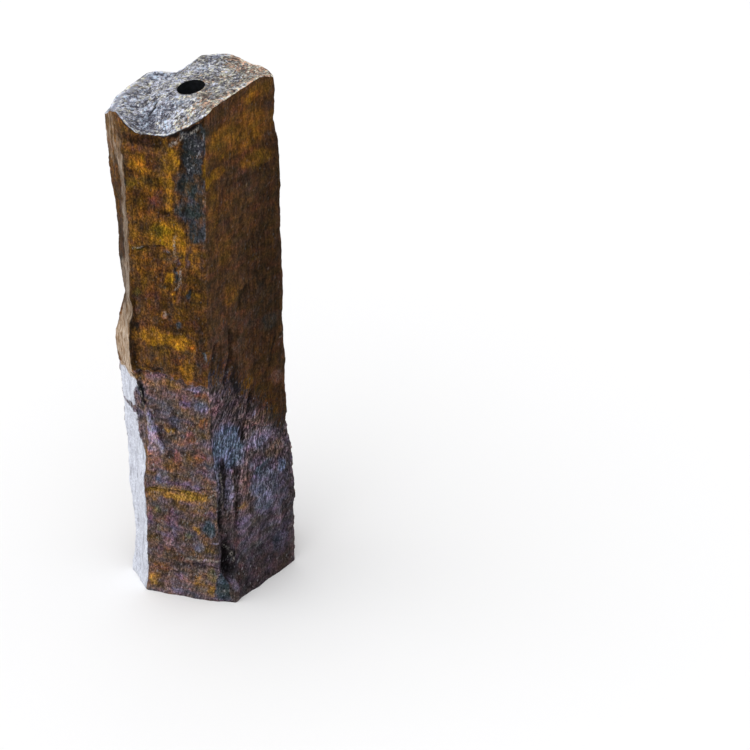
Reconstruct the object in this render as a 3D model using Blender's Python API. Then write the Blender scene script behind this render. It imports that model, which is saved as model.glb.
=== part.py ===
"""Basalt column: one natural six-sided stone, drilled from end to end for a water pipe.

The stone stands on its sawn foot, with the drilled bore on the Z axis, and its broken head slopes.
Its skin is one closed net of vertices: rings run up the six flanks to the rim, in over the head,
down the bore and out across the foot. Metres, +Z up. Its front is the side that faces -Y.
"""

import math

import bmesh
import bpy
import numpy as np
from mathutils import Vector, noise

MM = 0.001

# ---- Driving sizes -------------------------------------------------------------------------------
BORE_RADIUS = 18 * MM
HEAD_LEVEL = 751 * MM  # the higher, right-hand part of the head
HEAD_DROP = 28 * MM  # how much lower its left-hand part lies

# Each arris of the column, in mm: where it meets the foot, where it meets the head, and how far it
# wanders from the straight line between them (height, towards +X, towards +Y).
ARRISES = {
    "left": ((-123, -13), (-116, -12), [
        (100, 2, 0), (230, 4, 0), (300, 1, 0), (340, 0, 0), (372, -2, 0), (398, -2, 0), (415, 5, 0),
        (440, 10, 1), (458, 17, 2), (482, 13, 3), (510, 9, 2), (590, 7, 2), (660, 1, 0)]),
    "front_left": ((-98, -65), (-89, -60), [
        (35, 4, 0), (100, 6, 0), (250, 5, 0), (340, 2, -1), (395, -3, -1), (460, -1, 0), (550, 3, 0),
        (690, 4, 1)]),
    "front": ((27, -101), (23, -96), [
        (25, -5, 2), (60, -15, 3), (110, -13, 3), (155, -13, 3), (198, -11, 2), (240, -8, 2), (270, -9, 2),
        (330, -15, 0), (375, -15, 0), (570, -8, 1), (680, -3, 0)]),
    "right": ((115, 7), (104, 7), [
        (85, 1, 0), (115, 3, 0), (145, 9, 0), (178, 6, 0), (195, 2, 0), (238, -4, 0), (280, -3, 0),
        (340, -2, 0), (405, -3, 0), (520, -2, 1), (568, -2, 0), (596, 0, 0), (630, 8, 0), (655, 5, 0),
        (672, -2, 0), (695, -5, 0), (715, -2, 0)]),
    "back_right": ((47, 97), (41, 92), [
        (120, 4, 3), (260, -3, -4), (300, -1, -5), (450, 3, 2), (620, 3, -2)]),
    "back_left": ((-68, 98), (-68, 90), [
        (160, 3, -3), (240, -4, -1), (330, -6, 2), (500, 4, -2), (560, 5, -1), (660, -2, 3)]),
}
ARRIS_WEAR = 5 * MM  # how far from an arris the weather has rounded the flanks

# The lists below place each mark on a flank, from 0 at the left arris to 5 on its far side, by its
# distance along the flank from the flank's first arris and its height, all in mm.

# Breaks: below the line the skin has flaked off and stands back, and it comes forward again lower
# down. (flank, [(along, height), ...], how far back it stands, over what height it comes forward)
BREAKS = [
    (1, [(-10, 361), (38, 368), (74, 355), (135, 358)], 6, 110),
    (1, [(-10, 174), (60, 182), (135, 198)], 3.5, 60),
    (1, [(-10, 543), (30, 553), (52, 557), (60, 536)], 3, 80),
    (1, [(77, 709), (96, 728), (135, 758)], 5, 190),
    (2, [(-10, 330), (40, 296), (95, 250), (150, 228)], 5, 120),
    (0, [(-10, 352), (60, 358)], 4, 120),
    (3, [(-10, 428), (50, 402), (130, 436)], 5, 120),
    (3, [(-10, 165), (130, 142)], 4, 80),
    (4, [(-10, 588), (60, 612), (130, 596)], 3.5, 90),
    (4, [(-10, 268), (70, 302), (130, 286)], 6, 130),
    (5, [(-10, 474), (70, 450), (130, 468)], 5, 130),
    (5, [(-10, 210), (130, 232)], 4, 80),
]
BREAK_LIP = 5 * MM  # over what height a break steps back

# Furrows that run up a flank, and ribs, whose depth is below zero.
# (flank, [(along, height), ...], half width, depth)
FURROWS = [
    (2, [(12, 38), (14, 66), (13, 92)], 7, 10),
    (2, [(6, 102), (5, 150)], 5, 6),
    (2, [(17, 152), (20, 180), (24, 216)], 4, 9),
    (2, [(35, 116), (37, 160), (41, 208)], 4, 7),
    (2, [(26, 120), (28, 170), (32, 216)], 4, -4),
    (2, [(12, 6), (18, 40), (26, 80)], 5, -4),
    (2, [(30, 354), (43, 388), (43, 424)], 4, 5),
    (2, [(53, 250), (74, 312)], 4, 6),
    (2, [(8, 375), (15, 415)], 4, 4),
    (2, [(108, 120), (118, 60)], 7, -3),
    (0, [(26, 20), (24, 330)], 9, 4),
    (3, [(30, 10), (38, 160), (30, 330)], 5, 7),
    (3, [(84, 420), (78, 600)], 5, 4),
    (4, [(52, 40), (46, 250)], 5, 8),
    (4, [(90, 300), (96, 520)], 4, 5),
    (5, [(74, 30), (66, 190)], 5, 7),
    (5, [(36, 250), (44, 420)], 4, 6),
]

# Shell-shaped scars where a flake was struck off. A turn in degrees swings the blow from square on
# the flank towards its second arris.
# (flank, along, height, turn, width, height of the scar, depth)
SCARS = [
    (1, 0, 268, -40, 60, 170, 9),
    (1, 114, 22, 20, 44, 70, 6),
    (2, 36, 262, -12, 100, 120, 8),
    (2, 98, 224, 6, 84, 80, 5),
    (2, 134, 168, 25, 44, 100, 6),
    (0, 50, 455, 10, 40, 40, 5),
    (3, 100, 330, 20, 90, 140, 8),
    (3, 8, 640, -30, 46, 100, 6),
    (3, 50, 90, 0, 90, 120, 6),
    (4, 16, 120, -20, 60, 120, 8),
    (4, 66, 470, 0, 100, 150, 6),
    (4, 112, 560, 35, 50, 120, 8),
    (4, 100, 60, 15, 70, 90, 6),
    (5, 58, 330, 0, 80, 130, 7),
    (5, 108, 90, 25, 70, 120, 7),
    (5, 12, 650, -30, 46, 90, 7),
    (5, 96, 560, 10, 70, 110, 6),
]

# The head: lumps and hollows on its two levels. (x, y, radius, height)
LOW_LUMPS = [
    (-95, -57, 15, 17), (-106, -36, 16, 9), (-118, -8, 26, -12), (-45, -5, 36, -7), (-60, -72, 20, -3),
    (-25, -78, 16, -3), (-50, 90, 30, 3),
]
HIGH_LUMPS = [
    (84, -20, 26, 11), (60, -50, 24, 5), (104, 7, 14, -3), (0, 0, 42, -9), (48, 40, 30, -4), (30, 84, 34, 5),
    (70, 60, 26, 5), (92, 26, 26, 7),
]
# Round the mouth of the bore the head is flat: its level there, how it slopes towards +X and +Y, and how far.
MOUTH_LEVEL, MOUTH_SLOPE, MOUTH_REACH = 742 * MM, (0.16, 0.11), 44 * MM

# ---- Spacing of the net --------------------------------------------------------------------------
COLUMNS = [5, 12, 12, 10, 10, 11]  # on the six flanks
LEVEL_TOP = 640 * MM  # rings are level up to here, and lean towards the rim above
LEVEL_STEP, BREAK_STEP = 14 * MM, 6 * MM  # between rings, and between those near a long break
LONG_BREAKS = [180 * MM, 362 * MM, 552 * MM]
RIM_RINGS, HEAD_RINGS = 10, 8


# ---- Helpers -------------------------------------------------------------------------------------
def smooth(value, low, high):
    """0 below low, 1 above high, and an S curve between them."""
    t = np.clip((value - low) / (high - low), 0, 1)
    return t * t * (3 - 2 * t)


def unit(vectors):
    return vectors / np.linalg.norm(vectors, axis=1)[:, None]


def outward(steps):
    """Level directions along the outline, turned to face out of the stone."""
    return unit(np.stack([steps[:, 1], -steps[:, 0]], axis=1))


def rough(points, size, seed, stretch=1.0):
    """Noise from about -1 to 1 at each point, with features of this size, taller by stretch."""
    scale = Vector((1 / size, 1 / size, 1 / (size * stretch)))
    return np.array([noise.fractal(Vector(p) * scale + Vector((seed, 0, 0)), 0.6, 2.1, 3) for p in points])


# ---- Shape ---------------------------------------------------------------------------------------
def arris_at(number, height):
    """(x, y) of an arris at each height, in metres."""
    foot, head, wander = list(ARRISES.values())[number % 6]
    share = height / HEAD_LEVEL
    stations = [0.0] + [w[0] * MM for w in wander] + [HEAD_LEVEL]
    place = []
    for axis in (0, 1):
        shift = np.interp(height, stations, [0.0] + [w[1 + axis] for w in wander] + [0.0])
        place.append((foot[axis] * (1 - share) + head[axis] * share + shift) * MM)
    return np.stack(place, axis=-1)


def head_height(x, y):
    """Height of the head: a high part on the right, a dished part on the left, a steep slope between."""
    middle = np.interp(y, [-92 * MM, 0, 94 * MM], [6 * MM, -46 * MM, -12 * MM])
    half_width = np.interp(y, [-92 * MM, -20 * MM, 94 * MM], [30 * MM, 36 * MM, 17 * MM])
    way_up = np.clip((x - middle) / (2 * half_width) + 0.5, 0, 1)
    rise = (way_up + smooth(way_up, 0, 1)) / 2

    def lumps(rows):
        return sum(tall * MM * np.exp(-((x - cx * MM) ** 2 + (y - cy * MM) ** 2) / (radius * MM) ** 2)
                   for cx, cy, radius, tall in rows)

    low = HEAD_LEVEL - HEAD_DROP - 11 * MM * smooth(-y, 0, 75 * MM) + lumps(LOW_LUMPS)
    high = HEAD_LEVEL - 5 * MM * smooth(y, 20 * MM, 90 * MM) + lumps(HIGH_LUMPS)
    return low * (1 - rise) + high * rise


def head_point(xy, middle):
    """A point of the head over each place; middle is what the stone was moved by."""
    lumps = 1.4 * MM * rough(np.column_stack([xy, np.zeros(len(xy))]), 20 * MM, seed=5.2)
    height = head_height(*(xy + middle).T) + lumps
    near = 1 - smooth(np.hypot(*xy.T), MOUTH_REACH / 2, MOUTH_REACH)
    return np.column_stack([xy, height + (MOUTH_LEVEL + xy @ MOUTH_SLOPE - height) * near])


def line_gap(line, along, height):
    """Distance of each point from a broken line on its flank."""
    corners = np.array(line) * MM
    nearest = np.full_like(along, 1.0)
    for start, end in zip(corners[:-1], corners[1:]):
        step = end - start
        share = np.clip(((along - start[0]) * step[0] + (height - start[1]) * step[1]) / step.dot(step), 0, 1)
        nearest = np.minimum(nearest, np.hypot(along - start[0] - share * step[0],
                                               height - start[1] - share * step[1]))
    return nearest


def relief(flank, along, length, height):
    """How far the breaks, furrows and ribs of a flank stand out of it at each point, in metres."""
    out = np.zeros_like(along)
    for where, line, depth, run in BREAKS:
        if where != flank:
            continue
        first, last = line[0][0] * MM, line[-1][0] * MM
        edge = np.interp(along, [p[0] * MM for p in line], [p[1] * MM for p in line])
        set_back = smooth(edge - height, 0, BREAK_LIP) * (1 - smooth(edge - height, BREAK_LIP, run * MM))
        beside = smooth(along, first - 3 * MM, first + 3 * MM) * smooth(last - along, -3 * MM, 3 * MM)
        out -= depth * MM * set_back * beside
    for where, line, half_width, depth in FURROWS:
        if where == flank:
            out -= depth * MM * np.exp(-((line_gap(line, along, height) / (half_width * MM)) ** 2))
    return out * smooth(along, -1 * MM, 4 * MM) * smooth(length - along, -1 * MM, 4 * MM)


def flank_shares(count):
    """Shares of the way along a flank, closer together near both arrises."""
    even = np.arange(count) / count
    return even - 0.5 * np.sin(2 * math.pi * even) / (2 * math.pi)


def flank_ring(flank, count, height):
    """The points of one ring on one flank; height has one value for each of its columns."""
    before, start, end, after = (arris_at(flank + turn, height) for turn in (-1, 0, 1, 2))
    length = np.linalg.norm(end - start, axis=1)
    share = flank_shares(count)
    along = share * length
    facing = outward(end - start)
    at_start = facing + outward(start - before)
    at_end = facing + outward(after - end)
    to_start = (1 - smooth(along, 0, 2 * ARRIS_WEAR))[:, None]
    to_end = (1 - smooth(length - along, 0, 2 * ARRIS_WEAR))[:, None]
    facing = unit(facing + to_start * (unit(at_start) - facing) + to_end * (unit(at_end) - facing))
    near = np.minimum(np.minimum(along, length - along), ARRIS_WEAR)
    out = relief(flank, along, length, height) - (ARRIS_WEAR - near) ** 2 / (3 * ARRIS_WEAR)
    return np.column_stack([start + share[:, None] * (end - start) + facing * out[:, None], height])


def ring_at(heights, columns):
    """The points of one ring round the six flanks; heights has one value for each column of the net."""
    ends = np.cumsum(columns)
    return np.concatenate([flank_ring(flank, count, heights[end - count:end])
                           for flank, (count, end) in enumerate(zip(columns, ends))])


def struck(points):
    """The points with the shell-shaped scars taken out of them."""
    points = points.copy()
    for flank, along, height, turn, width, tall, depth in SCARS:
        start, end = (arris_at(flank + k, np.array([height * MM])) for k in (0, 1))
        facing = outward(end - start)[0]
        angle = math.atan2(facing[1], facing[0]) + math.radians(turn)
        radius = (width ** 2 / 4 + depth ** 2) / (2 * depth) * MM
        reach = (radius - depth * MM) * np.array([math.cos(angle), math.sin(angle)])
        centre = np.append(start[0] + along * MM * unit(end - start)[0] + reach, height * MM)
        squeeze = np.array([1, 1, width / tall])
        offset = (points - centre) * squeeze
        distance = np.linalg.norm(offset, axis=1)
        inside = distance < radius
        points[inside] = centre + offset[inside] * (radius / distance[inside])[:, None] / squeeze
    return points


def weathered(ring, rim):
    """A ring of the flanks with its scars, slow waves and knocks, kept between the foot and the rim."""
    away = unit(np.column_stack([ring[:, :2], np.zeros(len(ring))]))
    swell = 2.2 * MM * rough(ring, 70 * MM, seed=3.1, stretch=1.6)
    knocks = 1.3 * MM * rough(ring, 22 * MM, seed=8.4)
    moved = struck(ring + away * (swell + knocks)[:, None])
    moved[:, 2] = np.clip(moved[:, 2], 0, rim)
    return moved


# ---- The net -------------------------------------------------------------------------------------
def ring_levels():
    """Heights of the level rings, from the foot up, closer together near the long breaks."""
    levels = [0.0]
    while levels[-1] < LEVEL_TOP:
        near = min(abs(levels[-1] - height) for height in LONG_BREAKS) < 14 * MM
        levels.append(levels[-1] + (BREAK_STEP if near else LEVEL_STEP))
    return levels


def rim_heights(columns):
    """Height of the rim at each column of the net, found where the flanks meet the head."""
    heights = np.full(sum(columns), HEAD_LEVEL)
    for _ in range(4):
        ring = ring_at(heights, columns)
        heights = head_height(ring[:, 0], ring[:, 1])
    return heights


def flank_rings(columns, levels, rim_rings):
    """The rings up the flanks: level ones, then ones that lean ever more towards the rim."""
    rim = rim_heights(columns)
    rings = [weathered(ring_at(np.full(len(rim), level), columns), rim) for level in levels]
    for step in range(1, rim_rings + 1):
        heights = levels[-1] + (rim - levels[-1]) * (1 - (1 - step / rim_rings) ** 1.3)
        rings.append(weathered(ring_at(heights, columns), rim))
    rings[0][:, 2] = 0
    rings[-1][:, 2] = head_height(rings[-1][:, 0], rings[-1][:, 1])
    return rings


def head_and_bore_rings(edge, middle, count):
    """The rings from the rim in to the bore and down it; middle is what the edge was moved by."""
    angle = np.arctan2(edge[:, 1], edge[:, 0])
    bore = BORE_RADIUS * np.column_stack([np.cos(angle), np.sin(angle)])
    rings = []
    for step in range(1, count + 1):
        share = step / count
        xy = edge[:, :2] * (1 - share) + bore * share
        rings.append(head_point(xy, middle))
    return rings + [np.column_stack([bore, np.zeros(len(bore))])]


def skin_rings():
    """Every ring of the net in order, with the middle of the stone's outline on the Z axis."""
    sides = flank_rings(COLUMNS, ring_levels(), RIM_RINGS)
    corners = np.concatenate(sides)[:, :2]
    middle = (corners.min(axis=0) + corners.max(axis=0)) / 2
    for ring in sides:
        ring[:, :2] -= middle
    return sides + head_and_bore_rings(sides[-1], middle, HEAD_RINGS)


# ---- Object --------------------------------------------------------------------------------------
def stone_mesh(rings):
    """A closed mesh through the rings; the last joins the first across the foot."""
    bm = bmesh.new()
    loops = [[bm.verts.new(point) for point in ring] for ring in rings]
    for lower, upper in zip(loops, loops[1:] + loops[:1]):
        for i in range(len(lower)):
            j = (i + 1) % len(lower)
            bm.faces.new((lower[i], lower[j], upper[j], upper[i]))
    bmesh.ops.triangulate(bm, faces=bm.faces[:], quad_method="SHORT_EDGE")
    mesh = bpy.data.meshes.new("basalt_column")
    bm.to_mesh(mesh)
    bm.free()
    return mesh


def basalt_material():
    material = bpy.data.materials.new("weathered_basalt")
    material.use_nodes = True
    shader = material.node_tree.nodes["Principled BSDF"]
    shader.inputs["Base Color"].default_value = (0.11, 0.065, 0.035, 1)
    shader.inputs["Roughness"].default_value = 0.5
    shader.inputs["Metallic"].default_value = 0.0
    return material


def main():
    for obj in list(bpy.data.objects):
        bpy.data.objects.remove(obj)
    mesh = stone_mesh(skin_rings())
    mesh.materials.append(basalt_material())
    mesh.shade_smooth()
    mesh.set_sharp_from_angle(angle=math.radians(35))
    column = bpy.data.objects.new("basalt_column", mesh)
    bpy.context.scene.collection.objects.link(column)


main()
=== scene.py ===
"""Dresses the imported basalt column: a hackly skin of rust and bare rock, a broken head and a studio."""

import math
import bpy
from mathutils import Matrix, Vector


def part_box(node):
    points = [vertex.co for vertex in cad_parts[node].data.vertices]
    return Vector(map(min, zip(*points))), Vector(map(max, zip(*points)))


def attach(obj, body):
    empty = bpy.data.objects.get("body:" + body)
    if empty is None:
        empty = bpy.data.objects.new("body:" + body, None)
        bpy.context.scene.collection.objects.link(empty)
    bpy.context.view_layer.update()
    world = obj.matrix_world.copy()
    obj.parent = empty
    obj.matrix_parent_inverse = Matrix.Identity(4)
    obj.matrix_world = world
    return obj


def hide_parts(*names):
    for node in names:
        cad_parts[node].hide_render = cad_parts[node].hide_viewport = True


bl_info = {
    "name": "Basalt Column",
    "version": (1, 0, 0),
    "blender": (4, 5, 0),
    "location": "View3D > Sidebar > Stone",
    "description": "Builds a drilled basalt column with a weathered skin, and a studio to show it in",
    "category": "Add Mesh",
}

import bpy
import numpy as np
from mathutils import Vector, noise

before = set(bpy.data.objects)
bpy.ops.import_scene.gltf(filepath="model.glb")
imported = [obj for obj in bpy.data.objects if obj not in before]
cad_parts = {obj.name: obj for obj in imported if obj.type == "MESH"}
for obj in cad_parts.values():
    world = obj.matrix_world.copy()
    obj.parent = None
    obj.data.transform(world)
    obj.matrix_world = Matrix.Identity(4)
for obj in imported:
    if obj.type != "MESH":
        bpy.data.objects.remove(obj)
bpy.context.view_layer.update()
CAD_LOW, CAD_HIGH = (np.array(corner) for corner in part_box("basalt_column"))

MM = 0.001

# ---- Form: the same named values as the solid ----------------------------------------------------
HEAD_LEVEL = 751 * MM
HEAD_DROP = 28 * MM
ARRISES = {
    "left": ((-123, -13), (-116, -12), [
        (100, 2, 0), (230, 4, 0), (300, 1, 0), (340, 0, 0), (372, -2, 0), (398, -2, 0), (415, 5, 0),
        (440, 10, 1), (458, 17, 2), (482, 13, 3), (510, 9, 2), (590, 7, 2), (660, 1, 0)]),
    "front_left": ((-98, -65), (-89, -60), [
        (35, 4, 0), (100, 6, 0), (250, 5, 0), (340, 2, -1), (395, -3, -1), (460, -1, 0), (550, 3, 0),
        (690, 4, 1)]),
    "front": ((27, -101), (23, -96), [
        (25, -5, 2), (60, -15, 3), (110, -13, 3), (155, -13, 3), (198, -11, 2), (240, -8, 2), (270, -9, 2),
        (330, -15, 0), (375, -15, 0), (570, -8, 1), (680, -3, 0)]),
    "right": ((115, 7), (104, 7), [
        (85, 1, 0), (115, 3, 0), (145, 9, 0), (178, 6, 0), (195, 2, 0), (238, -4, 0), (280, -3, 0),
        (340, -2, 0), (405, -3, 0), (520, -2, 1), (568, -2, 0), (596, 0, 0), (630, 8, 0), (655, 5, 0),
        (672, -2, 0), (695, -5, 0), (715, -2, 0)]),
    "back_right": ((47, 97), (41, 92), [
        (120, 4, 3), (260, -3, -4), (300, -1, -5), (450, 3, 2), (620, 3, -2)]),
    "back_left": ((-68, 98), (-68, 90), [
        (160, 3, -3), (240, -4, -1), (330, -6, 2), (500, 4, -2), (560, 5, -1), (660, -2, 3)]),
}
ARRIS_WEAR = 5 * MM

# Flanks are numbered from the left one, 0, past the front one, 1, and the right one, 2, to the back left, 5.
# Places on a flank are given by the distance along it and the height, in mm.
# Ledges at which the brown crust also ends: flank: [(along, height), ...]
LEDGES = {
    1: [(-10, 361), (38, 368), (74, 355), (135, 358)], 3: [(-10, 428), (50, 402), (130, 436)],
    4: [(-10, 268), (70, 302), (130, 286)], 5: [(-10, 474), (70, 450), (130, 468)],
}
# (flank, [(along, height), ...], how far back it stands, over what height it comes forward)
BREAKS = [
    (1, LEDGES[1], 6, 110),
    (1, [(-10, 174), (60, 182), (135, 198)], 3.5, 60),
    (1, [(-10, 543), (30, 553), (52, 557), (60, 536)], 3, 80),
    (1, [(77, 709), (96, 728), (135, 758)], 5, 190),
    (2, [(-10, 330), (40, 296), (95, 250), (150, 228)], 5, 120),
    (0, [(-10, 352), (60, 358)], 4, 120),
    (3, LEDGES[3], 5, 120),
    (3, [(-10, 165), (130, 142)], 4, 80),
    (4, [(-10, 588), (60, 612), (130, 596)], 3.5, 90),
    (4, LEDGES[4], 6, 130),
    (5, LEDGES[5], 5, 130),
    (5, [(-10, 210), (130, 232)], 4, 80),
]
BREAK_LIP = 3 * MM

# (flank, [(along, height), ...], half width, depth)
FURROWS = [
    (2, [(12, 38), (14, 66), (13, 92)], 7, 10),
    (2, [(6, 102), (5, 150)], 5, 6),
    (2, [(17, 152), (20, 180), (24, 216)], 4, 9),
    (2, [(35, 116), (37, 160), (41, 208)], 4, 7),
    (2, [(26, 120), (28, 170), (32, 216)], 4, -4),
    (2, [(12, 6), (18, 40), (26, 80)], 5, -4),
    (2, [(30, 354), (43, 388), (43, 424)], 4, 5),
    (2, [(53, 250), (74, 312)], 4, 6),
    (2, [(8, 375), (15, 415)], 4, 4),
    (2, [(108, 120), (118, 60)], 7, -3),
    (0, [(26, 20), (24, 330)], 9, 4),
    (3, [(30, 10), (38, 160), (30, 330)], 5, 7),
    (3, [(84, 420), (78, 600)], 5, 4),
    (4, [(52, 40), (46, 250)], 5, 8),
    (4, [(90, 300), (96, 520)], 4, 5),
    (5, [(74, 30), (66, 190)], 5, 7),
    (5, [(36, 250), (44, 420)], 4, 6),
]

# (flank, along, height, turn, width, height of the scar, depth)
SCARS = [
    (1, 0, 268, -40, 60, 170, 9),
    (1, 114, 22, 20, 44, 70, 6),
    (2, 36, 262, -12, 100, 120, 8),
    (2, 98, 224, 6, 84, 80, 5),
    (2, 134, 168, 25, 44, 100, 6),
    (0, 50, 455, 10, 40, 40, 5),
    (3, 100, 330, 20, 90, 140, 8),
    (3, 8, 640, -30, 46, 100, 6),
    (3, 50, 90, 0, 90, 120, 6),
    (4, 16, 120, -20, 60, 120, 8),
    (4, 66, 470, 0, 100, 150, 6),
    (4, 112, 560, 35, 50, 120, 8),
    (4, 100, 60, 15, 70, 90, 6),
    (5, 58, 330, 0, 80, 130, 7),
    (5, 108, 90, 25, 70, 120, 7),
    (5, 12, 650, -30, 46, 90, 7),
    (5, 96, 560, 10, 70, 110, 6),
]

# (x, y, radius, height)
LOW_LUMPS = [
    (-95, -57, 15, 17), (-106, -36, 16, 9), (-118, -8, 26, -12), (-45, -5, 36, -7), (-60, -72, 20, -3),
    (-25, -78, 16, -3), (-50, 90, 30, 3),
]
HIGH_LUMPS = [
    (84, -20, 26, 11), (60, -50, 24, 5), (104, 7, 14, -3), (0, 0, 42, -9), (48, 40, 30, -4), (30, 84, 34, 5),
    (70, 60, 26, 5), (92, 26, 26, 7),
]
# Round the mouth of the bore the head is flat: its level there, its slope towards +X and +Y, and how far.
MOUTH_LEVEL, MOUTH_SLOPE, MOUTH_REACH = 742 * MM, (0.16, 0.11), 44 * MM
# The slope between the low and the high part of the head: along Y, its middle and its half width along X
SLOPE_MIDDLE = ([-92, 0, 94], [6, -46, -12])
SLOPE_HALF_WIDTH = ([-92, -20, 94], [30, 36, 17])
FRONT_DIP, FRONT_REACH = 11 * MM, 75 * MM  # how the low part falls towards the front
BACK_DIP, BACK_START, BACK_END = 5 * MM, 20 * MM, 90 * MM  # how the high part falls towards the back
# Slow waves and knocks in the skin and on the head: (height, length, seed, how much taller than wide)
SWELL, KNOCKS, HEAD_KNOCKS = (2.2, 70, 3.1, 1.6), (1.3, 22, 8.4, 1.0), (1.4, 20, 5.2, 1.0)

# ---- Spacing of the finer net --------------------------------------------------------------------
COLUMNS = [22, 54, 56, 40, 40, 44]  # on the six flanks
CROWDING = 0.3  # how much closer together the columns are at the arrises
LEVEL_TOP = 640 * MM  # rings are level up to here, and lean towards the rim above
LEVEL_RINGS, RIM_RINGS, HEAD_RINGS, BORE_RINGS, FOOT_RINGS = 276, 48, 44, 7, 4
RIM_ROW = LEVEL_RINGS + RIM_RINGS
MOUTH_ROW = RIM_ROW + HEAD_RINGS
STILL_RINGS = 4  # over this many rings the relief dies out towards the mouth of the bore
FLANK, HEAD, BORE, FOOT = range(4)  # zones of the skin
LEFT, FRONT, RIGHT, BACK_LEFT, NO_FLANK = 0, 1, 2, 5, -1  # flanks by their number
# Where each zone lies on the flat map, as (left, bottom) and (width, height)
MAP_PATCHES = {
    FLANK: ((0.004, 0.004), (0.672, 0.992)), HEAD: ((0.69, 0.735), (0.304, 0.304)),
    FOOT: ((0.69, 0.465), (0.304, 0.304)), BORE: ((0.69, 0.01), (0.304, 0.44)),
}

# ---- Edges of breaks and marks -------------------------------------------------------------------
EDGE_WANDER = 5 * MM  # how far the edge of a break or of the crust wanders
EDGE_LENGTH, END_LENGTH = 16 * MM, 22 * MM  # over what length it does so, along the edge and at its end
END_FADE, END_SEED = 3 * MM, 40  # how gradually a break ends to the side, and the first seed for that edge
ARRIS_FADE = (-1 * MM, 4 * MM)  # from an arris, where the breaks and furrows of a flank begin
SWAY, SWAY_LENGTH, SWAY_SEEDS = 4 * MM, 11 * MM, (31.0, 47.0)  # how far the edges of the marks wander
MARK_REACH, MARK_FADE = 1.25, 0.5  # where a mark ends and how soon it fades, in shares of its half size

# ---- Stains --------------------------------------------------------------------------------------
# What each kind of mark does to the skin: from blue (-1) to gold (1), from green (-1) to red (1), and from
# dark (-1) to pale (1).
KINDS = {
    "violet": (-0.5, 0.5, 0.0), "rust": (0.6, 0.7, 0.1), "umber": (0.0, 0.0, -1.0),
    "slate": (-1.0, 0.0, -0.45), "teal": (-1.0, -0.7, -0.35), "grey": (-0.6, 0.0, -0.15),
    # lilac is pale rock, partly a painted sheen
    "blue": (-1.0, 0.0, 0.3), "lilac_and_sheen": (-0.65, 0.15, 0.9), "gold": (1.0, -0.1, 0.4),
    "olive": (0.3, -1.0, 0.0), "wine": (-0.1, 0.8, -0.15), "rose": (0.0, 0.35, 0.4),
    # black is mostly painted shadow: in gaps, in furrows and under the rim
    "black_and_shadow": (0.0, 0.0, -2.3),
}
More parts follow.
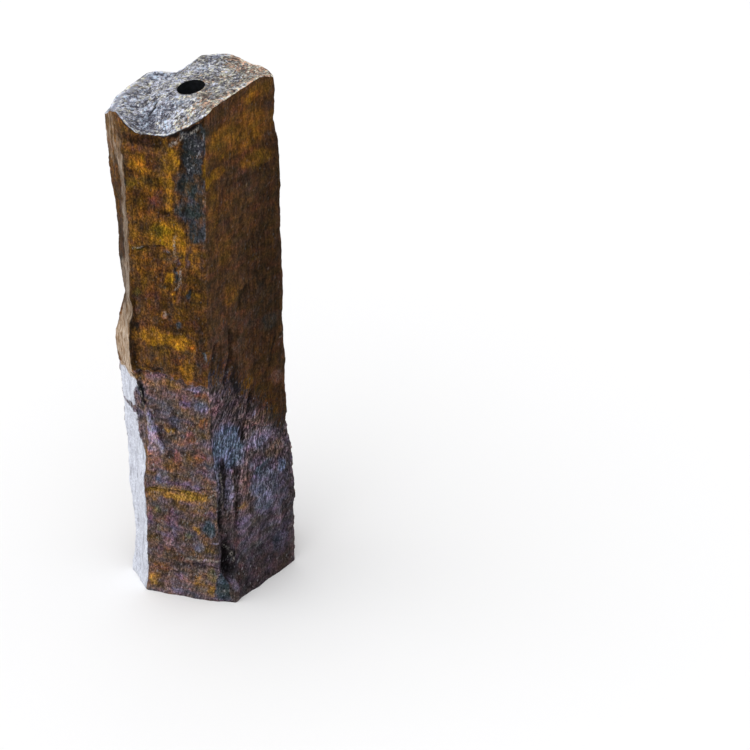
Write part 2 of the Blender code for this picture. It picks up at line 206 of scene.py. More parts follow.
# kind: {flank: [(along, height, half width, half height, strength), ...], ...}
MARKS = {
    "violet": {
        0: [(50, 612, 14, 40, 0.7), (46, 540, 16, 30, 0.6)],
        1: [(69, 532, 2, 10, 1), (84, 538, 4, 9, 1), (84, 480, 4, 8, 0.8), (10, 473, 8, 4, 0.7),
            (97, 446, 4, 9, 1), (68, 395, 10, 9, 0.6), (51, 363, 8, 4, 0.8), (69, 322, 8, 7, 1),
            (58, 191, 34, 4, 1), (97, 146, 8, 8, 0.7), (20, 74, 7, 9, 0.5), (6, 410, 9, 60, 0.7),
            (104, 400, 8, 36, 0.5)],
        2: [(46, 113, 12, 15, 0.6), (76, 198, 21, 9, 0.5), (78, 426, 14, 14, 0.5), (70, 638, 30, 5, 0.4),
            (35, 415, 30, 40, 0.3), (88, 236, 30, 16, 0.5)],
        3: [(50, 260, 40, 50, 0.7)],
        4: [(80, 160, 40, 40, 0.7)],
        5: [(40, 330, 40, 40, 0.7)],
    },
    "rust": {
        1: [(50, 638, 2, 14, 0.8), (58, 571, 7, 8, 0.9), (51, 441, 8, 4, 1), (88, 417, 6, 9, 0.9),
            (7, 310, 5, 10, 0.8), (88, 338, 6, 4, 1), (94, 295, 6, 8, 1), (74, 269, 8, 8, 0.9),
            (53, 235, 6, 14, 0.9), (85, 241, 8, 13, 0.8), (97, 202, 11, 6, 0.7), (67, 174, 9, 8, 1),
            (48, 66, 6, 7, 0.7), (20, 45, 18, 10, 0.5), (31, 87, 9, 10, 0.5), (60, 340, 50, 12, 0.35),
            (25, 353, 24, 14, 0.8), (48, 173, 44, 10, 0.4), (60, 450, 40, 14, 0.3), (30, 424, 30, 16, 0.3),
            (20, 667, 18, 18, 0.3)],
        2: [(103, 289, 4, 11, 0.7), (82, 259, 11, 4, 0.8), (13, 321, 13, 11, 0.5), (39, 44, 8, 8, 0.7),
            (61, 22, 9, 8, 0.6), (35, 614, 13, 14, 0.4), (34, 128, 6, 14, 0.7), (33, 89, 7, 10, 0.6),
            (84, 24, 50, 30, 0.5), (52, 186, 10, 30, 0.4), (84, 706, 54, 50, 0.35),
            (80, 300, 50, 40, 0.35)],
        3: [(80, 250, 30, 50, 0.6)],
        4: [(80, 230, 30, 40, 0.7)],
        5: [(50, 280, 30, 40, 0.7), (30, 80, 30, 30, 0.7)],
    },
    "umber": {
        0: [(46, 470, 40, 40, 0.25), (40, 540, 44, 110, 0.45), (52, 560, 14, 120, 0.5)],
        1: [(34, 700, 36, 7, 1), (1, 653, 8, 10, 0.9), (38, 673, 12, 8, 0.4), (38, 644, 10, 13, 0.4),
            (50, 605, 10, 7, 0.6), (25, 617, 23, 18, 0.35), (4, 462, 5, 11, 0.9), (54, 454, 6, 7, 0.6),
            (8, 423, 7, 16, 1), (84, 474, 10, 8, 0.5), (66, 390, 9, 9, 0.5), (5, 385, 6, 20, 0.7),
            (33, 269, 6, 13, 0.8), (24, 300, 4, 12, 0.8), (65, 245, 12, 2, 0.8), (71, 224, 9, 8, 0.5),
            (41, 236, 6, 6, 0.6), (80, 60, 12, 4, 0.8), (40, 500, 30, 40, 0.3), (106, 89, 3, 40, 0.8),
            (50, 100, 60, 60, 0.2), (6, 405, 9, 56, 0.9), (104, 420, 7, 50, 0.5), (92, 480, 20, 50, 0.35),
            (60, 440, 26, 6, 0.6)],
        2: [(125, 400, 50, 330, 0.2), (75, 296, 5, 13, 0.9), (125, 400, 50, 330, 0.35),
            (49, 680, 20, 3, 0.8), (86, 681, 11, 6, 0.5), (70, 638, 34, 5, 0.5), (116, 609, 12, 22, 0.5),
            (77, 593, 5, 6, 0.9), (107, 578, 14, 24, 0.5), (89, 522, 25, 40, 0.5), (121, 485, 16, 60, 0.5),
            (74, 465, 14, 18, 0.5), (113, 411, 21, 22, 0.5), (52, 412, 4, 9, 0.9), (48, 364, 5, 24, 1),
            (26, 408, 4, 6, 0.9), (21, 385, 5, 20, 0.8), (114, 364, 22, 20, 0.3), (131, 640, 6, 60, 0.6),
            (112, 440, 26, 80, 0.3), (22, 150, 22, 70, 0.4), (114, 202, 15, 14, 0.5),
            (104, 290, 30, 34, 0.35), (40, 300, 30, 40, 0.3), (76, 24, 60, 34, 0.75),
            (3, 110, 10, 40, 0.5), (110, 100, 30, 90, 0.3), (112, 270, 24, 44, 0.35),
            # The first two marks on the next line are painted shade: the deep shadow low on the right flank
            # beside its front arris
            (12, 70, 17, 60, 0.6), (20, 40, 16, 40, 0.4), (56, 310, 40, 30, 0.3)],
        3: [(20, 330, 12, 60, 0.8), (96, 600, 14, 60, 0.6), (60, 520, 40, 30, 0.3)],
        4: [(50, 150, 12, 80, 0.8), (20, 650, 14, 40, 0.7), (90, 480, 30, 40, 0.4)],
        5: [(100, 620, 16, 50, 0.8), (40, 380, 12, 50, 0.7)],
    },
    "grey": {
        1: [(100, 584, 16, 15, 1), (91, 645, 24, 20, 1), (93, 611, 25, 20, 1), (106, 600, 10, 34, 0.9)],
    },
    "slate": {
        0: [(54, 640, 8, 7, 0.8)],
        1: [(71, 686, 2, 6, 0.8), (87, 491, 3, 8, 1), (58, 290, 20, 10, 0.4), (96, 704, 17, 17, 1),
            (93, 676, 15, 17, 1), (99, 716, 20, 14, 1), (106, 690, 11, 26, 0.9), (122, 16, 12, 20, 0.8)],
        2: [(115, 48, 17, 20, 0.5), (113, 411, 18, 14, 0.4), (115, 718, 9, 10, 0.3), (3, 712, 7, 14, 0.6)],
        3: [(110, 160, 16, 40, 0.7), (20, 690, 14, 30, 0.7)],
        4: [(110, 380, 14, 40, 0.7)],
        5: [(96, 190, 20, 30, 0.8), (20, 560, 12, 40, 0.7)],
    },
    "teal": {
        1: [(49, 499, 6, 4, 0.6), (51, 409, 6, 6, 0.5), (96, 125, 10, 14, 1), (27, 196, 9, 8, 0.5),
            (94, 612, 14, 10, 0.5), (118, 26, 16, 24, 1), (86, 646, 14, 16, 0.4)],
        2: [(86, 189, 16, 4, 0.7), (-4, 30, 8, 12, 0.8)],
        3: [(50, 300, 20, 20, 0.6)],
    },
    "blue": {
        1: [(69, 518, 2, 13, 0.9), (72, 444, 7, 4, 0.8), (109, 402, 4, 8, 1), (27, 201, 9, 10, 0.6),
            (74, 208, 4, 6, 0.5), (80, 92, 8, 8, 0.6)],
        2: [(74, 168, 11, 19, 0.6), (85, 131, 16, 18, 0.6), (123, 174, 8, 10, 1), (26, 246, 27, 36, 1),
            (40, 236, 18, 30, 0.5), (92, 150, 16, 40, 0.4)],
        3: [(70, 380, 40, 20, 0.7)],
        4: [(40, 240, 30, 30, 0.8)],
        5: [(80, 420, 30, 24, 0.8)],
    },
    # Pale lilac-grey rock, partly a painted sheen where smooth broken faces catch the light
    "lilac_and_sheen": {
        1: [(109, 623, 4, 7, 0.9), (109, 578, 4, 5, 0.8), (53, 550, 4, 4, 0.9), (59, 536, 6, 6, 0.8),
            (53, 456, 4, 6, 1), (40, 448, 7, 6, 0.4), (14, 292, 4, 14, 0.9), (93, 322, 13, 6, 0.6),
            (104, 102, 4, 2, 1), (89, 69, 5, 2, 1), (17, 268, 9, 18, 1), (22, 246, 13, 16, 0.9),
            (92, 347, 24, 4, 0.6)],
        2: [(47, 114, 12, 18, 0.3), (76, 281, 3, 3, 1), (126, 319, 14, 12, 0.4), (134, 377, 4, 2, 1),
            (113, 683, 10, 3, 0.3), (5, 207, 4, 26, 0.6), (24, 189, 4, 23, 0.7), (22, 161, 4, 16, 0.5),
            (22, 54, 2, 15, 0.5), (14, 25, 5, 11, 0.5), (100, 150, 34, 44, 0.25), (88, 236, 28, 15, 0.6)],
        3: [(40, 400, 30, 12, 0.8)],
        4: [(30, 270, 30, 12, 0.8), (100, 100, 14, 40, 0.6)],
        5: [(60, 440, 30, 10, 0.9)],
    },
    "gold": {
        1: [(53, 642, 4, 15, 0.6), (56, 574, 24, 20, 1), (75, 563, 7, 18, 1), (108, 666, 5, 8, 0.6),
            (76, 541, 4, 14, 0.9), (59, 511, 6, 8, 0.9), (68, 486, 2, 8, 0.9), (16, 506, 10, 11, 0.3),
            (94, 545, 6, 20, 0.5), (12, 569, 12, 11, 0.3), (44, 276, 8, 4, 0.8), (87, 171, 6, 14, 0.8),
            (77, 119, 5, 8, 0.9), (99, 18, 5, 11, 0.8), (62, 636, 5, 32, 0.75), (64, 677, 12, 20, 0.65),
            (59, 700, 5, 8, 0.5), (74, 419, 15, 12, 0.85), (30, 350, 30, 14, 0.5), (80, 377, 9, 17, 0.65),
            (20, 667, 16, 14, 0.5), (11, 164, 13, 9, 0.8), (50, 172, 46, 11, 1), (11, 22, 8, 13, 0.75),
            (80, 29, 8, 14, 0.75), (52, 420, 14, 10, 0.6), (116, 672, 6, 24, 0.6), (118, 640, 4, 12, 0.5),
            (117, 600, 3, 10, 0.5), (32, 419, 28, 13, 0.7)],
        2: [(83, 740, 11, 8, 0.8), (38, 706, 30, 12, 0.4), (20, 661, 13, 7, 0.7), (0, 653, 9, 7, 0.9),
            (90, 657, 30, 10, 0.5), (33, 547, 14, 27, 0.3), (44, 479, 13, 18, 0.35), (29, 678, 2, 2, 1),
            (61, 680, 2, 2, 1), (12, 600, 8, 60, 0.25), (48, 142, 9, 7, 0.7), (114, 202, 15, 14, 0.45),
            (68, 330, 12, 14, 0.4), (104, 290, 26, 30, 0.1), (60, 700, 70, 26, 0.45),
            (98, 746, 29, 10, 0.3), (96, 262, 24, 22, 0.25)],
        3: [(30, 640, 30, 40, 0.8), (80, 560, 30, 40, 0.6), (50, 450, 40, 12, 0.9), (60, 90, 40, 14, 0.7)],
        4: [(40, 560, 36, 20, 0.9), (92, 660, 20, 50, 0.7), (30, 320, 30, 14, 0.8), (70, 40, 30, 16, 0.8)],
        5: [(30, 620, 28, 40, 0.8), (90, 510, 26, 18, 0.9), (60, 690, 50, 12, 0.6),
            (60, 130, 44, 10, 0.8)],
    },
    "olive": {
        1: [(8, 641, 7, 8, 0.7), (45, 579, 6, 12, 0.6), (12, 547, 8, 2, 1), (10, 483, 8, 5, 0.9),
            (19, 141, 6, 5, 0.8), (19, 111, 4, 7, 0.8), (64, 106, 6, 5, 0.8), (98, 46, 7, 14, 0.8),
            (30, 640, 14, 10, 0.3)],
        4: [(60, 620, 30, 14, 0.7)],
        5: [(90, 130, 16, 20, 0.6)],
    },
    "wine": {
        1: [(36, 672, 8, 12, 0.6), (41, 619, 11, 7, 0.8), (35, 484, 13, 12, 0.4), (41, 130, 12, 14, 0.8),
            (7, 126, 4, 12, 0.8)],
        3: [(40, 560, 20, 16, 0.6)],
        5: [(70, 600, 24, 16, 0.6)],
    },
    "rose": {
        1: [(33, 91, 10, 14, 0.7), (45, 22, 27, 16, 0.5), (18, 222, 14, 16, 0.8)],
        2: [(110, 90, 16, 7, 0.8)],
        3: [(30, 200, 30, 20, 0.6)],
    },
    # Black marks, mostly painted shadow: under the rim and the ledge of the front flank, and in the deep
    # gaps of the furrows on the right flank
    "black_and_shadow": {
        1: [(72, 714, 6, 5, 0.9), (53, 605, 6, 4, 0.6), (4, 322, 6, 20, 1), (92, 722, 14, 3, 0.5),
            (33, 372, 14, 2, 0.5), (3, 430, 7, 70, 0.3)],
        2: [(54, 256, 2, 16, 0.8), (-3, 215, 4, 8, 0.8), (34, 202, 4, 14, 0.7), (3, 150, 4, 26, 0.9),
            (14, 101, 6, 10, 0.9), (35, 151, 3, 24, 0.6), (50, 262, 3, 18, 0.8), (43, 352, 4, 16, 0.7),
            (50, 330, 3, 20, 0.5), (15, 192, 5, 38, 1), (15, 66, 14, 22, 1), (9, 196, 6, 30, 0.6)],
    },
}
FRONT_WARMTH, RIGHT_SHADE = 0.15, -0.25  # of these whole flanks, before any mark; the right flank is darkened as painted shade, as it is turned from the key light

# Where the left flank has a pale coat, and the gaps in it, as the marks above. Below the crust the coat is
# chalky and partly a painted reflection of the bright floor.
COAT = [
    (30, 395, 30, 46, 0.85), (47, 520, 12, 170, 0.65), (20, 690, 24, 44, 0.4), (30, 470, 26, 50, 0.5),
]
COAT_AND_SHEEN_GAPS = [(58, 285, 18, 55, 1), (28, 290, 30, 5, 0.7)]
COAT_AND_SHEEN_TOP, COAT_AND_SHEEN_FADE = 350 * MM, 5 * MM  # it covers the flank below this, where it is chalky and partly painted reflection, and fades over this

# Where the lower edge of the brown crust is on each flank
CRUST_LINES = {
    **LEDGES, 0: [(-10, 338), (60, 345)],
    2: [(-10, 368), (20, 363), (47, 351), (56, 337), (73, 318), (95, 292), (114, 258), (150, 236)],
}
CRUST_FADE = [14 * MM, 12 * MM, 60 * MM, 30 * MM, 20 * MM, 24 * MM]  # how gradually it gives out, by flank

# Thin marks: (flank, [(along, height), ...], half width), and on the head ([(x, y), ...], half width)
CRACK_AND_SHADOW_LINES = [
    (1, [(16, 548), (34, 553), (50, 556)], 2.4), (1, [(0, 172), (60, 180), (106, 193)], 1.5),
    # The next row runs along the rim of the front flank: a groove darkened as painted shadow under the rim
    (1, [(62, 708), (80, 717), (95, 724), (112, 734)], 4.0),
    (1, [(56, 548), (66, 526), (70, 500), (66, 482)], 2.0),
    (1, [(3, 342), (14, 304), (27, 270), (40, 240)], 2.6), (1, [(79, 690), (74, 640), (84, 566)], 1.2),
    (1, [(55, 57), (80, 62), (106, 60)], 1.6), (2, [(125, 384), (112, 342)], 1.6),
    (2, [(53, 250), (63, 284), (74, 312)], 1.8), (2, [(43, 424), (43, 388), (30, 354), (26, 320)], 1.8),
    (2, [(15, 413), (7, 375)], 1.6), (2, [(122, 196), (126, 150)], 2.2),
    (2, [(0, 330), (4, 250), (8, 226)], 1.8), (3, [(20, 560), (60, 556), (110, 566)], 2.0),
    (4, [(70, 470), (60, 420), (66, 380)], 2.2), (5, [(20, 540), (80, 548), (120, 542)], 2.0),
    (5, [(90, 400), (84, 340)], 2.2),
]
HEAD_CRACKS = [
    ([(-52, -33), (-46, -24), (-43, -16)], 2.6), ([(-24, -8), (-30, -16)], 1.6),
    ([(-74, -50), (-66, -40)], 1.6), ([(48, -36), (60, -44)], 1.6), ([(20, 30), (34, 40)], 1.6),
]
PALE_LINES = [
    (1, [(66, 699), (77, 707), (84, 714)], 3.4), (1, [(90, 715), (99, 721), (103, 726)], 2.4),
    (1, [(73, 526), (73, 507), (67, 496)], 1.6), (1, [(2, 330), (8, 300), (19, 264), (32, 238)], 3.0),
    (1, [(67, 574), (65, 559), (67, 541)], 1.8), (1, [(4, 545), (18, 549)], 2.0),
    (1, [(60, 66), (84, 70), (108, 72)], 2.2), (1, [(96, 176), (110, 186)], 2.0),
    (2, [(12, 92), (20, 84), (26, 60)], 1.2), (2, [(10, 212), (8, 170)], 1.4),
    (3, [(30, 570), (90, 566)], 1.8), (5, [(30, 552), (90, 556)], 1.8),
]
CRACK_DEPTH, PALE_LINE_HEIGHT = 1.2 * MM, 0.7 * MM
# The painted shadow under the rim of the front flank, darkened like the cracks: how wide it is at each place
# along the flank
LIP_PLACES, LIP_WIDTHS = [50 * MM, 72 * MM, 110 * MM], [2 * MM, 6 * MM, 6 * MM]

# ---- Colours: ramps of (place, colour) -----------------------------------------------------------
CRUST_COLOURS = [
    (0.12, (0.037, 0.040, 0.046)), (0.24, (0.058, 0.040, 0.031)), (0.42, (0.074, 0.036, 0.017)),
    (0.58, (0.094, 0.043, 0.0110)), (0.74, (0.126, 0.056, 0.0080)), (0.90, (0.170, 0.076, 0.0065)),
    (1.0, (0.215, 0.105, 0.008))]
BARE_COLOURS = [
    (0.0, (0.050, 0.062, 0.096)), (0.25, (0.082, 0.073, 0.104)), (0.50, (0.098, 0.068, 0.068)),
    (0.68, (0.110, 0.066, 0.045)), (0.84, (0.130, 0.068, 0.028)), (1.0, (0.175, 0.093, 0.020))]
SKIN_TINGES = [  # from green to red
    (0.0, (0.76, 1.14, 0.86)), (0.38, (0.95, 1.03, 0.94)), (0.5, (1.0, 1.0, 1.0)),
    (0.64, (1.08, 0.94, 1.02)), (1.0, (1.28, 0.76, 1.12))]
TAN_COAT = [(0.2, (0.20, 0.115, 0.055)), (0.5, (0.36, 0.255, 0.17)), (0.85, (0.52, 0.42, 0.33))]
# The chalky coat is partly a painted reflection of the bright floor
CHALK_AND_SHEEN = [(0.1, (0.36, 0.37, 0.42)), (0.4, (0.56, 0.58, 0.66)), (0.9, (0.66, 0.69, 0.76))]
HEAD_GREYS = [
    (0.0, (0.060, 0.056, 0.068)), (0.30, (0.20, 0.20, 0.22)), (0.60, (0.44, 0.45, 0.47)),
    (0.85, (0.72, 0.74, 0.76)), (1.0, (0.88, 0.90, 0.92))]
HEAD_TINGES = [  # from blue through cream to orange
    (0.0, (0.72, 0.84, 1.0)), (0.28, (0.86, 0.85, 1.0)), (0.48, (0.95, 0.95, 0.98)),
    (0.64, (1.0, 0.95, 0.83)), (0.78, (0.98, 0.93, 0.68)), (0.88, (1.0, 0.72, 0.54)),
    (1.0, (1.0, 0.62, 0.42))]
# Almost black: painted shade inside the bore
BORE_SHADE_COLOURS = [(0.35, (0.002, 0.0025, 0.003)), (0.65, (0.006, 0.007, 0.009))]
FOOT_COLOURS = [(0.0, (0.050, 0.050, 0.056)), (0.6, (0.105, 0.105, 0.115)), (1.0, (0.19, 0.19, 0.20))]
# The crack colour also paints the shadow under the rim of the front flank
CRACK_AND_SHADOW_COLOUR, HEAD_CRACK_COLOUR = (0.010, 0.008, 0.008, 1), (0.020, 0.018, 0.024, 1)
PALE_LINE_COLOUR, FLECK_COLOUR = (0.34, 0.31, 0.28, 1), (0.36, 0.36, 0.38, 1)
FOOT_STAIN = (0.15, 0.11, 0.075, 1)

# The skin's uneven tones: (size, how much taller than wide, how fine, seed)
SKIN_TONES = {
    "blotch": (55 * MM, 1.6, 0.6, 0.0), "layer": (22 * MM, 0.5, 0.35, 17.0),
    "spot": (12 * MM, 1.3, 0.6, 2.0), "tint": (6 * MM, 1.3, 0.7, 14.0),
    "streak": (4.2 * MM, 5.0, 0.6, 9.0), "grain": (2 * MM, 1.5, 0.6, 5.0),
}
STROKE_TONE = (2.4 * MM, 1.0, 0.6, 11.0)  # of the slanting strokes on bare rock
SKIN_FIELDS = ("crust", "warmth", "redness", "paleness", "coat_and_sheen", "crack_and_shadow", "pale_line", "shade_and_wear", "right_side",
               "hackly")

# ---- The break and the wear ----------------------------------------------------------------------
BREAK_SIZES = {  # as the tree has them where no setting is given
    "Chip Size": 0.02, "Chip Depth": 0.002, "Flake Size": 0.007, "Flake Depth": 0.001,
    "Striae Depth": 0.001, "Hackle Depth": 0.002, "Grain Depth": 0.0003,
}
FINISHES = ("Skin", "Head", "Bore", "Foot")  # in the order of the zones
SEED_STEP = (0.37, 0.11, 0.23)  # how far each seed moves the pattern
STRIAE_SCALE, HACKLE_SCALE, GRAIN_SCALE = 210.0, 170.0, 420.0  # features in a metre, about
STRIAE_SHORTENING, HACKLE_SHORTENING = 0.09, 0.16  # of the height, which makes them long and upright
LEAN = (0.28, 0.11, 0.0)  # how far the slanting strokes go to the side on their way up
CHIP_WOBBLE, CHIP_TIP = (1.4, 0.7), 1.6  # how finely and how far a chip's edge wobbles, and how it tips
BEVEL_EDGE = (15 * MM, 9 * MM)  # how far from the rim the head's worn edge at the back left ends
RIM_WIDTH = 6 * MM  # of the paler, warmer edge of the head
# Between these heights on the right flank the slanting strokes are deepest
RIDGES_START, RIDGES_TOP, RIDGES_FADE = (90 * MM, 210 * MM), 400 * MM, 60 * MM
STILL_FOOT = (1 * MM, 8 * MM)  # heights between which the relief dies out towards the foot
# For the painted shade in the hollows of the stone and its paler worn edges
SHADE_AND_WEAR_SCALES = ((4, 0.5 * MM), (24, 2.2 * MM))  # (passes of averaging, how far out of it counts as 1)

# ---- Patterns of the finishes --------------------------------------------------------------------
CRUST_EDGE, COAT_AND_SHEEN_EDGE = (9 * MM, 0.7, 0.12), (6 * MM, 1.3, 0.6, 4.0)  # (size, raggedness, softness, upright)
CRUST_TEAR = 4.0  # how far the strokes tear the crust's edge on the right flank
FLECK_SIZE, FLECK_SHORTENING = 1.7 * MM, 0.5
CRYSTAL_SIZE, FINE_SIZE = 2.9 * MM, 1.6 * MM  # of the crystals on the head, and of the grain in the foot
DRILL_RINGS, DRILL_SCALE = (1.0, 1.0, 40.0), 12.0  # squeezed along the bore
SAW_MIDDLE, SAW_MARKS = (0.9, -0.4, 0.0), 1800.0  # where the saw's arcs are centred, and how close they are

# ---- Studio --------------------------------------------------------------------------------------
FLOOR_GAP = 0.1 * MM  # keeps the floor and the sawn foot out of one plane
SENSOR_WIDTH = 36.0  # in mm


# ---- Form: the same functions as the solid, with ragged breaks -----------------------------------
def smooth(value, low, high):
    """0 below low, 1 above high, and an S curve between them."""
    t = np.clip((value - low) / (high - low), 0, 1)
    return t * t * (3 - 2 * t)


def unit(vectors):
    return vectors / np.linalg.norm(vectors, axis=-1)[..., None]


def outward(steps):
    """Level directions along the outline, turned to face out of the stone."""
    return unit(np.stack([steps[:, 1], -steps[:, 0]], axis=1))


def rough(points, size, seed, stretch=1.0):
    """Noise from about -1 to 1 at each point, with features of this size, taller by stretch."""
    scale = Vector((1 / size, 1 / size, 1 / (size * stretch)))
    return np.array([noise.fractal(Vector(p) * scale + Vector((seed, 0, 0)), 0.6, 2.1, 3) for p in points])


def knocked(points, height, size, seed, stretch):
    """How far waves or knocks of this height and size, in mm, move each point."""
    return height * MM * rough(points, size * MM, seed, stretch)


def ragged(flank, along, size, seed):
    """Noise from about -1 to 1 along a flank, for the edge of a break."""
    return np.array([noise.fractal(Vector((a / size, 7.7 * flank, seed)), 0.9, 2.2, 4) for a in along])


def line_height(line, along):
    """Height of a broken line, given in mm, at each distance along its flank."""
    return np.interp(along, [point[0] * MM for point in line], [point[1] * MM for point in line])


def line_gap(line, along, height):
    """Distance of each point from a broken line on its flank."""
    corners = np.array(line) * MM
    nearest = np.full_like(along, 1.0)
    for start, step in zip(corners, np.diff(corners, axis=0)):
        past, above = along - start[0], height - start[1]
        share = np.clip((past * step[0] + above * step[1]) / step.dot(step), 0, 1)
        nearest = np.minimum(nearest, np.hypot(past - share * step[0], above - share * step[1]))
    return nearest


def arris_at(number, height):
    """(x, y) of an arris at each height, in metres."""
    foot, head, wander = list(ARRISES.values())[number % 6]
    share = height / HEAD_LEVEL
    stations = [0.0] + [w[0] * MM for w in wander] + [HEAD_LEVEL]
    place = []
    for axis in (0, 1):
        shift = np.interp(height, stations, [0.0] + [w[1 + axis] for w in wander] + [0.0])
        place.append((foot[axis] * (1 - share) + head[axis] * share + shift) * MM)
    return np.stack(place, axis=-1)


def head_height(x, y):
    """Height of the head: a high part on the right, a dished part on the left, a steep slope between."""
    middle = np.interp(y, *np.array(SLOPE_MIDDLE) * MM)
    half_width = np.interp(y, *np.array(SLOPE_HALF_WIDTH) * MM)
    way_up = np.clip((x - middle) / (2 * half_width) + 0.5, 0, 1)
    rise = (way_up + smooth(way_up, 0, 1)) / 2

    def lumps(rows):
        return sum(tall * MM * np.exp(-((x - cx * MM) ** 2 + (y - cy * MM) ** 2) / (radius * MM) ** 2)
                   for cx, cy, radius, tall in rows)

    low = HEAD_LEVEL - HEAD_DROP - FRONT_DIP * smooth(-y, 0, FRONT_REACH) + lumps(LOW_LUMPS)
    high = HEAD_LEVEL - BACK_DIP * smooth(y, BACK_START, BACK_END) + lumps(HIGH_LUMPS)
    return low * (1 - rise) + high * rise


def head_point(xy, middle):
    """A point of the head over each place; middle is what the stone was moved by."""
    lumps = knocked(np.column_stack([xy, np.zeros(len(xy))]), *HEAD_KNOCKS)
    height = head_height(*(xy + middle).T) + lumps
    near = 1 - smooth(np.hypot(*xy.T), MOUTH_REACH / 2, MOUTH_REACH)
    return np.column_stack([xy, height + (MOUTH_LEVEL + xy @ MOUTH_SLOPE - height) * near])


def relief(flank, along, length, height):
    """How far the breaks, furrows and ribs of a flank stand out of it at each point, in metres."""
    out = np.zeros_like(along)
    for row, (where, line, depth, run) in enumerate(BREAKS):
        if where != flank:
            continue
        edge = line_height(line, along) + EDGE_WANDER * ragged(flank, along, EDGE_LENGTH, row)
        set_back = smooth(edge - height, 0, BREAK_LIP) * (1 - smooth(edge - height, BREAK_LIP, run * MM))
        start = line[0][0] * MM + EDGE_WANDER * ragged(flank, height, END_LENGTH, row + END_SEED)
        end = line[-1][0] * MM
        beside = smooth(along, start - END_FADE, start + END_FADE) * smooth(end - along, -END_FADE, END_FADE)
        out -= depth * MM * set_back * beside
    for where, line, half_width, depth in FURROWS:
        if where == flank:
            out -= depth * MM * np.exp(-((line_gap(line, along, height) / (half_width * MM)) ** 2))
    return out * smooth(along, *ARRIS_FADE) * smooth(length - along, *ARRIS_FADE)


def flank_shares(count):
    """Shares of the way along a flank, a little closer together near both arrises."""
    even = np.arange(count) / count
    return even - CROWDING * np.sin(2 * math.pi * even) / (2 * math.pi)


def flank_ring(flank, count, height):
    """The points of one ring on one flank, and how far along it each lies."""
    before, start, end, after = (arris_at(flank + turn, height) for turn in (-1, 0, 1, 2))
    length = np.linalg.norm(end - start, axis=1)
    share = flank_shares(count)
    along = share * length
    facing = outward(end - start)
    at_start = facing + outward(start - before)
    at_end = facing + outward(after - end)
    to_start = (1 - smooth(along, 0, 2 * ARRIS_WEAR))[:, None]
    to_end = (1 - smooth(length - along, 0, 2 * ARRIS_WEAR))[:, None]
    facing = unit(facing + to_start * (unit(at_start) - facing) + to_end * (unit(at_end) - facing))
    near = np.minimum(np.minimum(along, length - along), ARRIS_WEAR)
    out = relief(flank, along, length, height) - (ARRIS_WEAR - near) ** 2 / (3 * ARRIS_WEAR)
    return np.column_stack([start + share[:, None] * (end - start) + facing * out[:, None], height]), along


def ring_at(heights):
    """The points of one ring round the six flanks, and how far along its flank each lies."""
    ends = np.cumsum(COLUMNS)
    parts = [flank_ring(flank, count, heights[end - count:end])
             for flank, (count, end) in enumerate(zip(COLUMNS, ends))]
    return [np.concatenate(part) for part in zip(*parts)]


def struck(points):
    """The points with the shell-shaped scars taken out of them."""
    points = points.copy()
    for flank, along, height, turn, width, tall, depth in SCARS:
        start, end = (arris_at(flank + k, np.array([height * MM])) for k in (0, 1))
        facing = outward(end - start)[0]
        angle = math.atan2(facing[1], facing[0]) + math.radians(turn)
        radius = (width ** 2 / 4 + depth ** 2) / (2 * depth) * MM
        reach = (radius - depth * MM) * np.array([math.cos(angle), math.sin(angle)])
        centre = np.append(start[0] + along * MM * unit(end - start)[0] + reach, height * MM)
        squeeze = np.array([1, 1, width / tall])
        offset = (points - centre) * squeeze
        distance = np.linalg.norm(offset, axis=1)
        inside = distance < radius
        points[inside] = centre + offset[inside] * (radius / distance[inside])[:, None] / squeeze
    return points


def weathered(ring, rim):
    """A ring of the flanks with its scars, slow waves and knocks, kept between the foot and the rim."""
    away = unit(np.column_stack([ring[:, :2], np.zeros(len(ring))]))
    out = knocked(ring, *SWELL) + knocked(ring, *KNOCKS)
    moved = struck(ring + away * out[:, None])
    moved[:, 2] = np.clip(moved[:, 2], 0, rim)
    return moved


def rim_heights():
    """Height of the rim at each column of the net, found where the flanks meet the head."""
    heights = np.full(sum(COLUMNS), HEAD_LEVEL)
    for _ in range(4):  # each pass brings them closer to the head
        ring = ring_at(heights)[0]
        heights = head_height(ring[:, 0], ring[:, 1])
    return heights


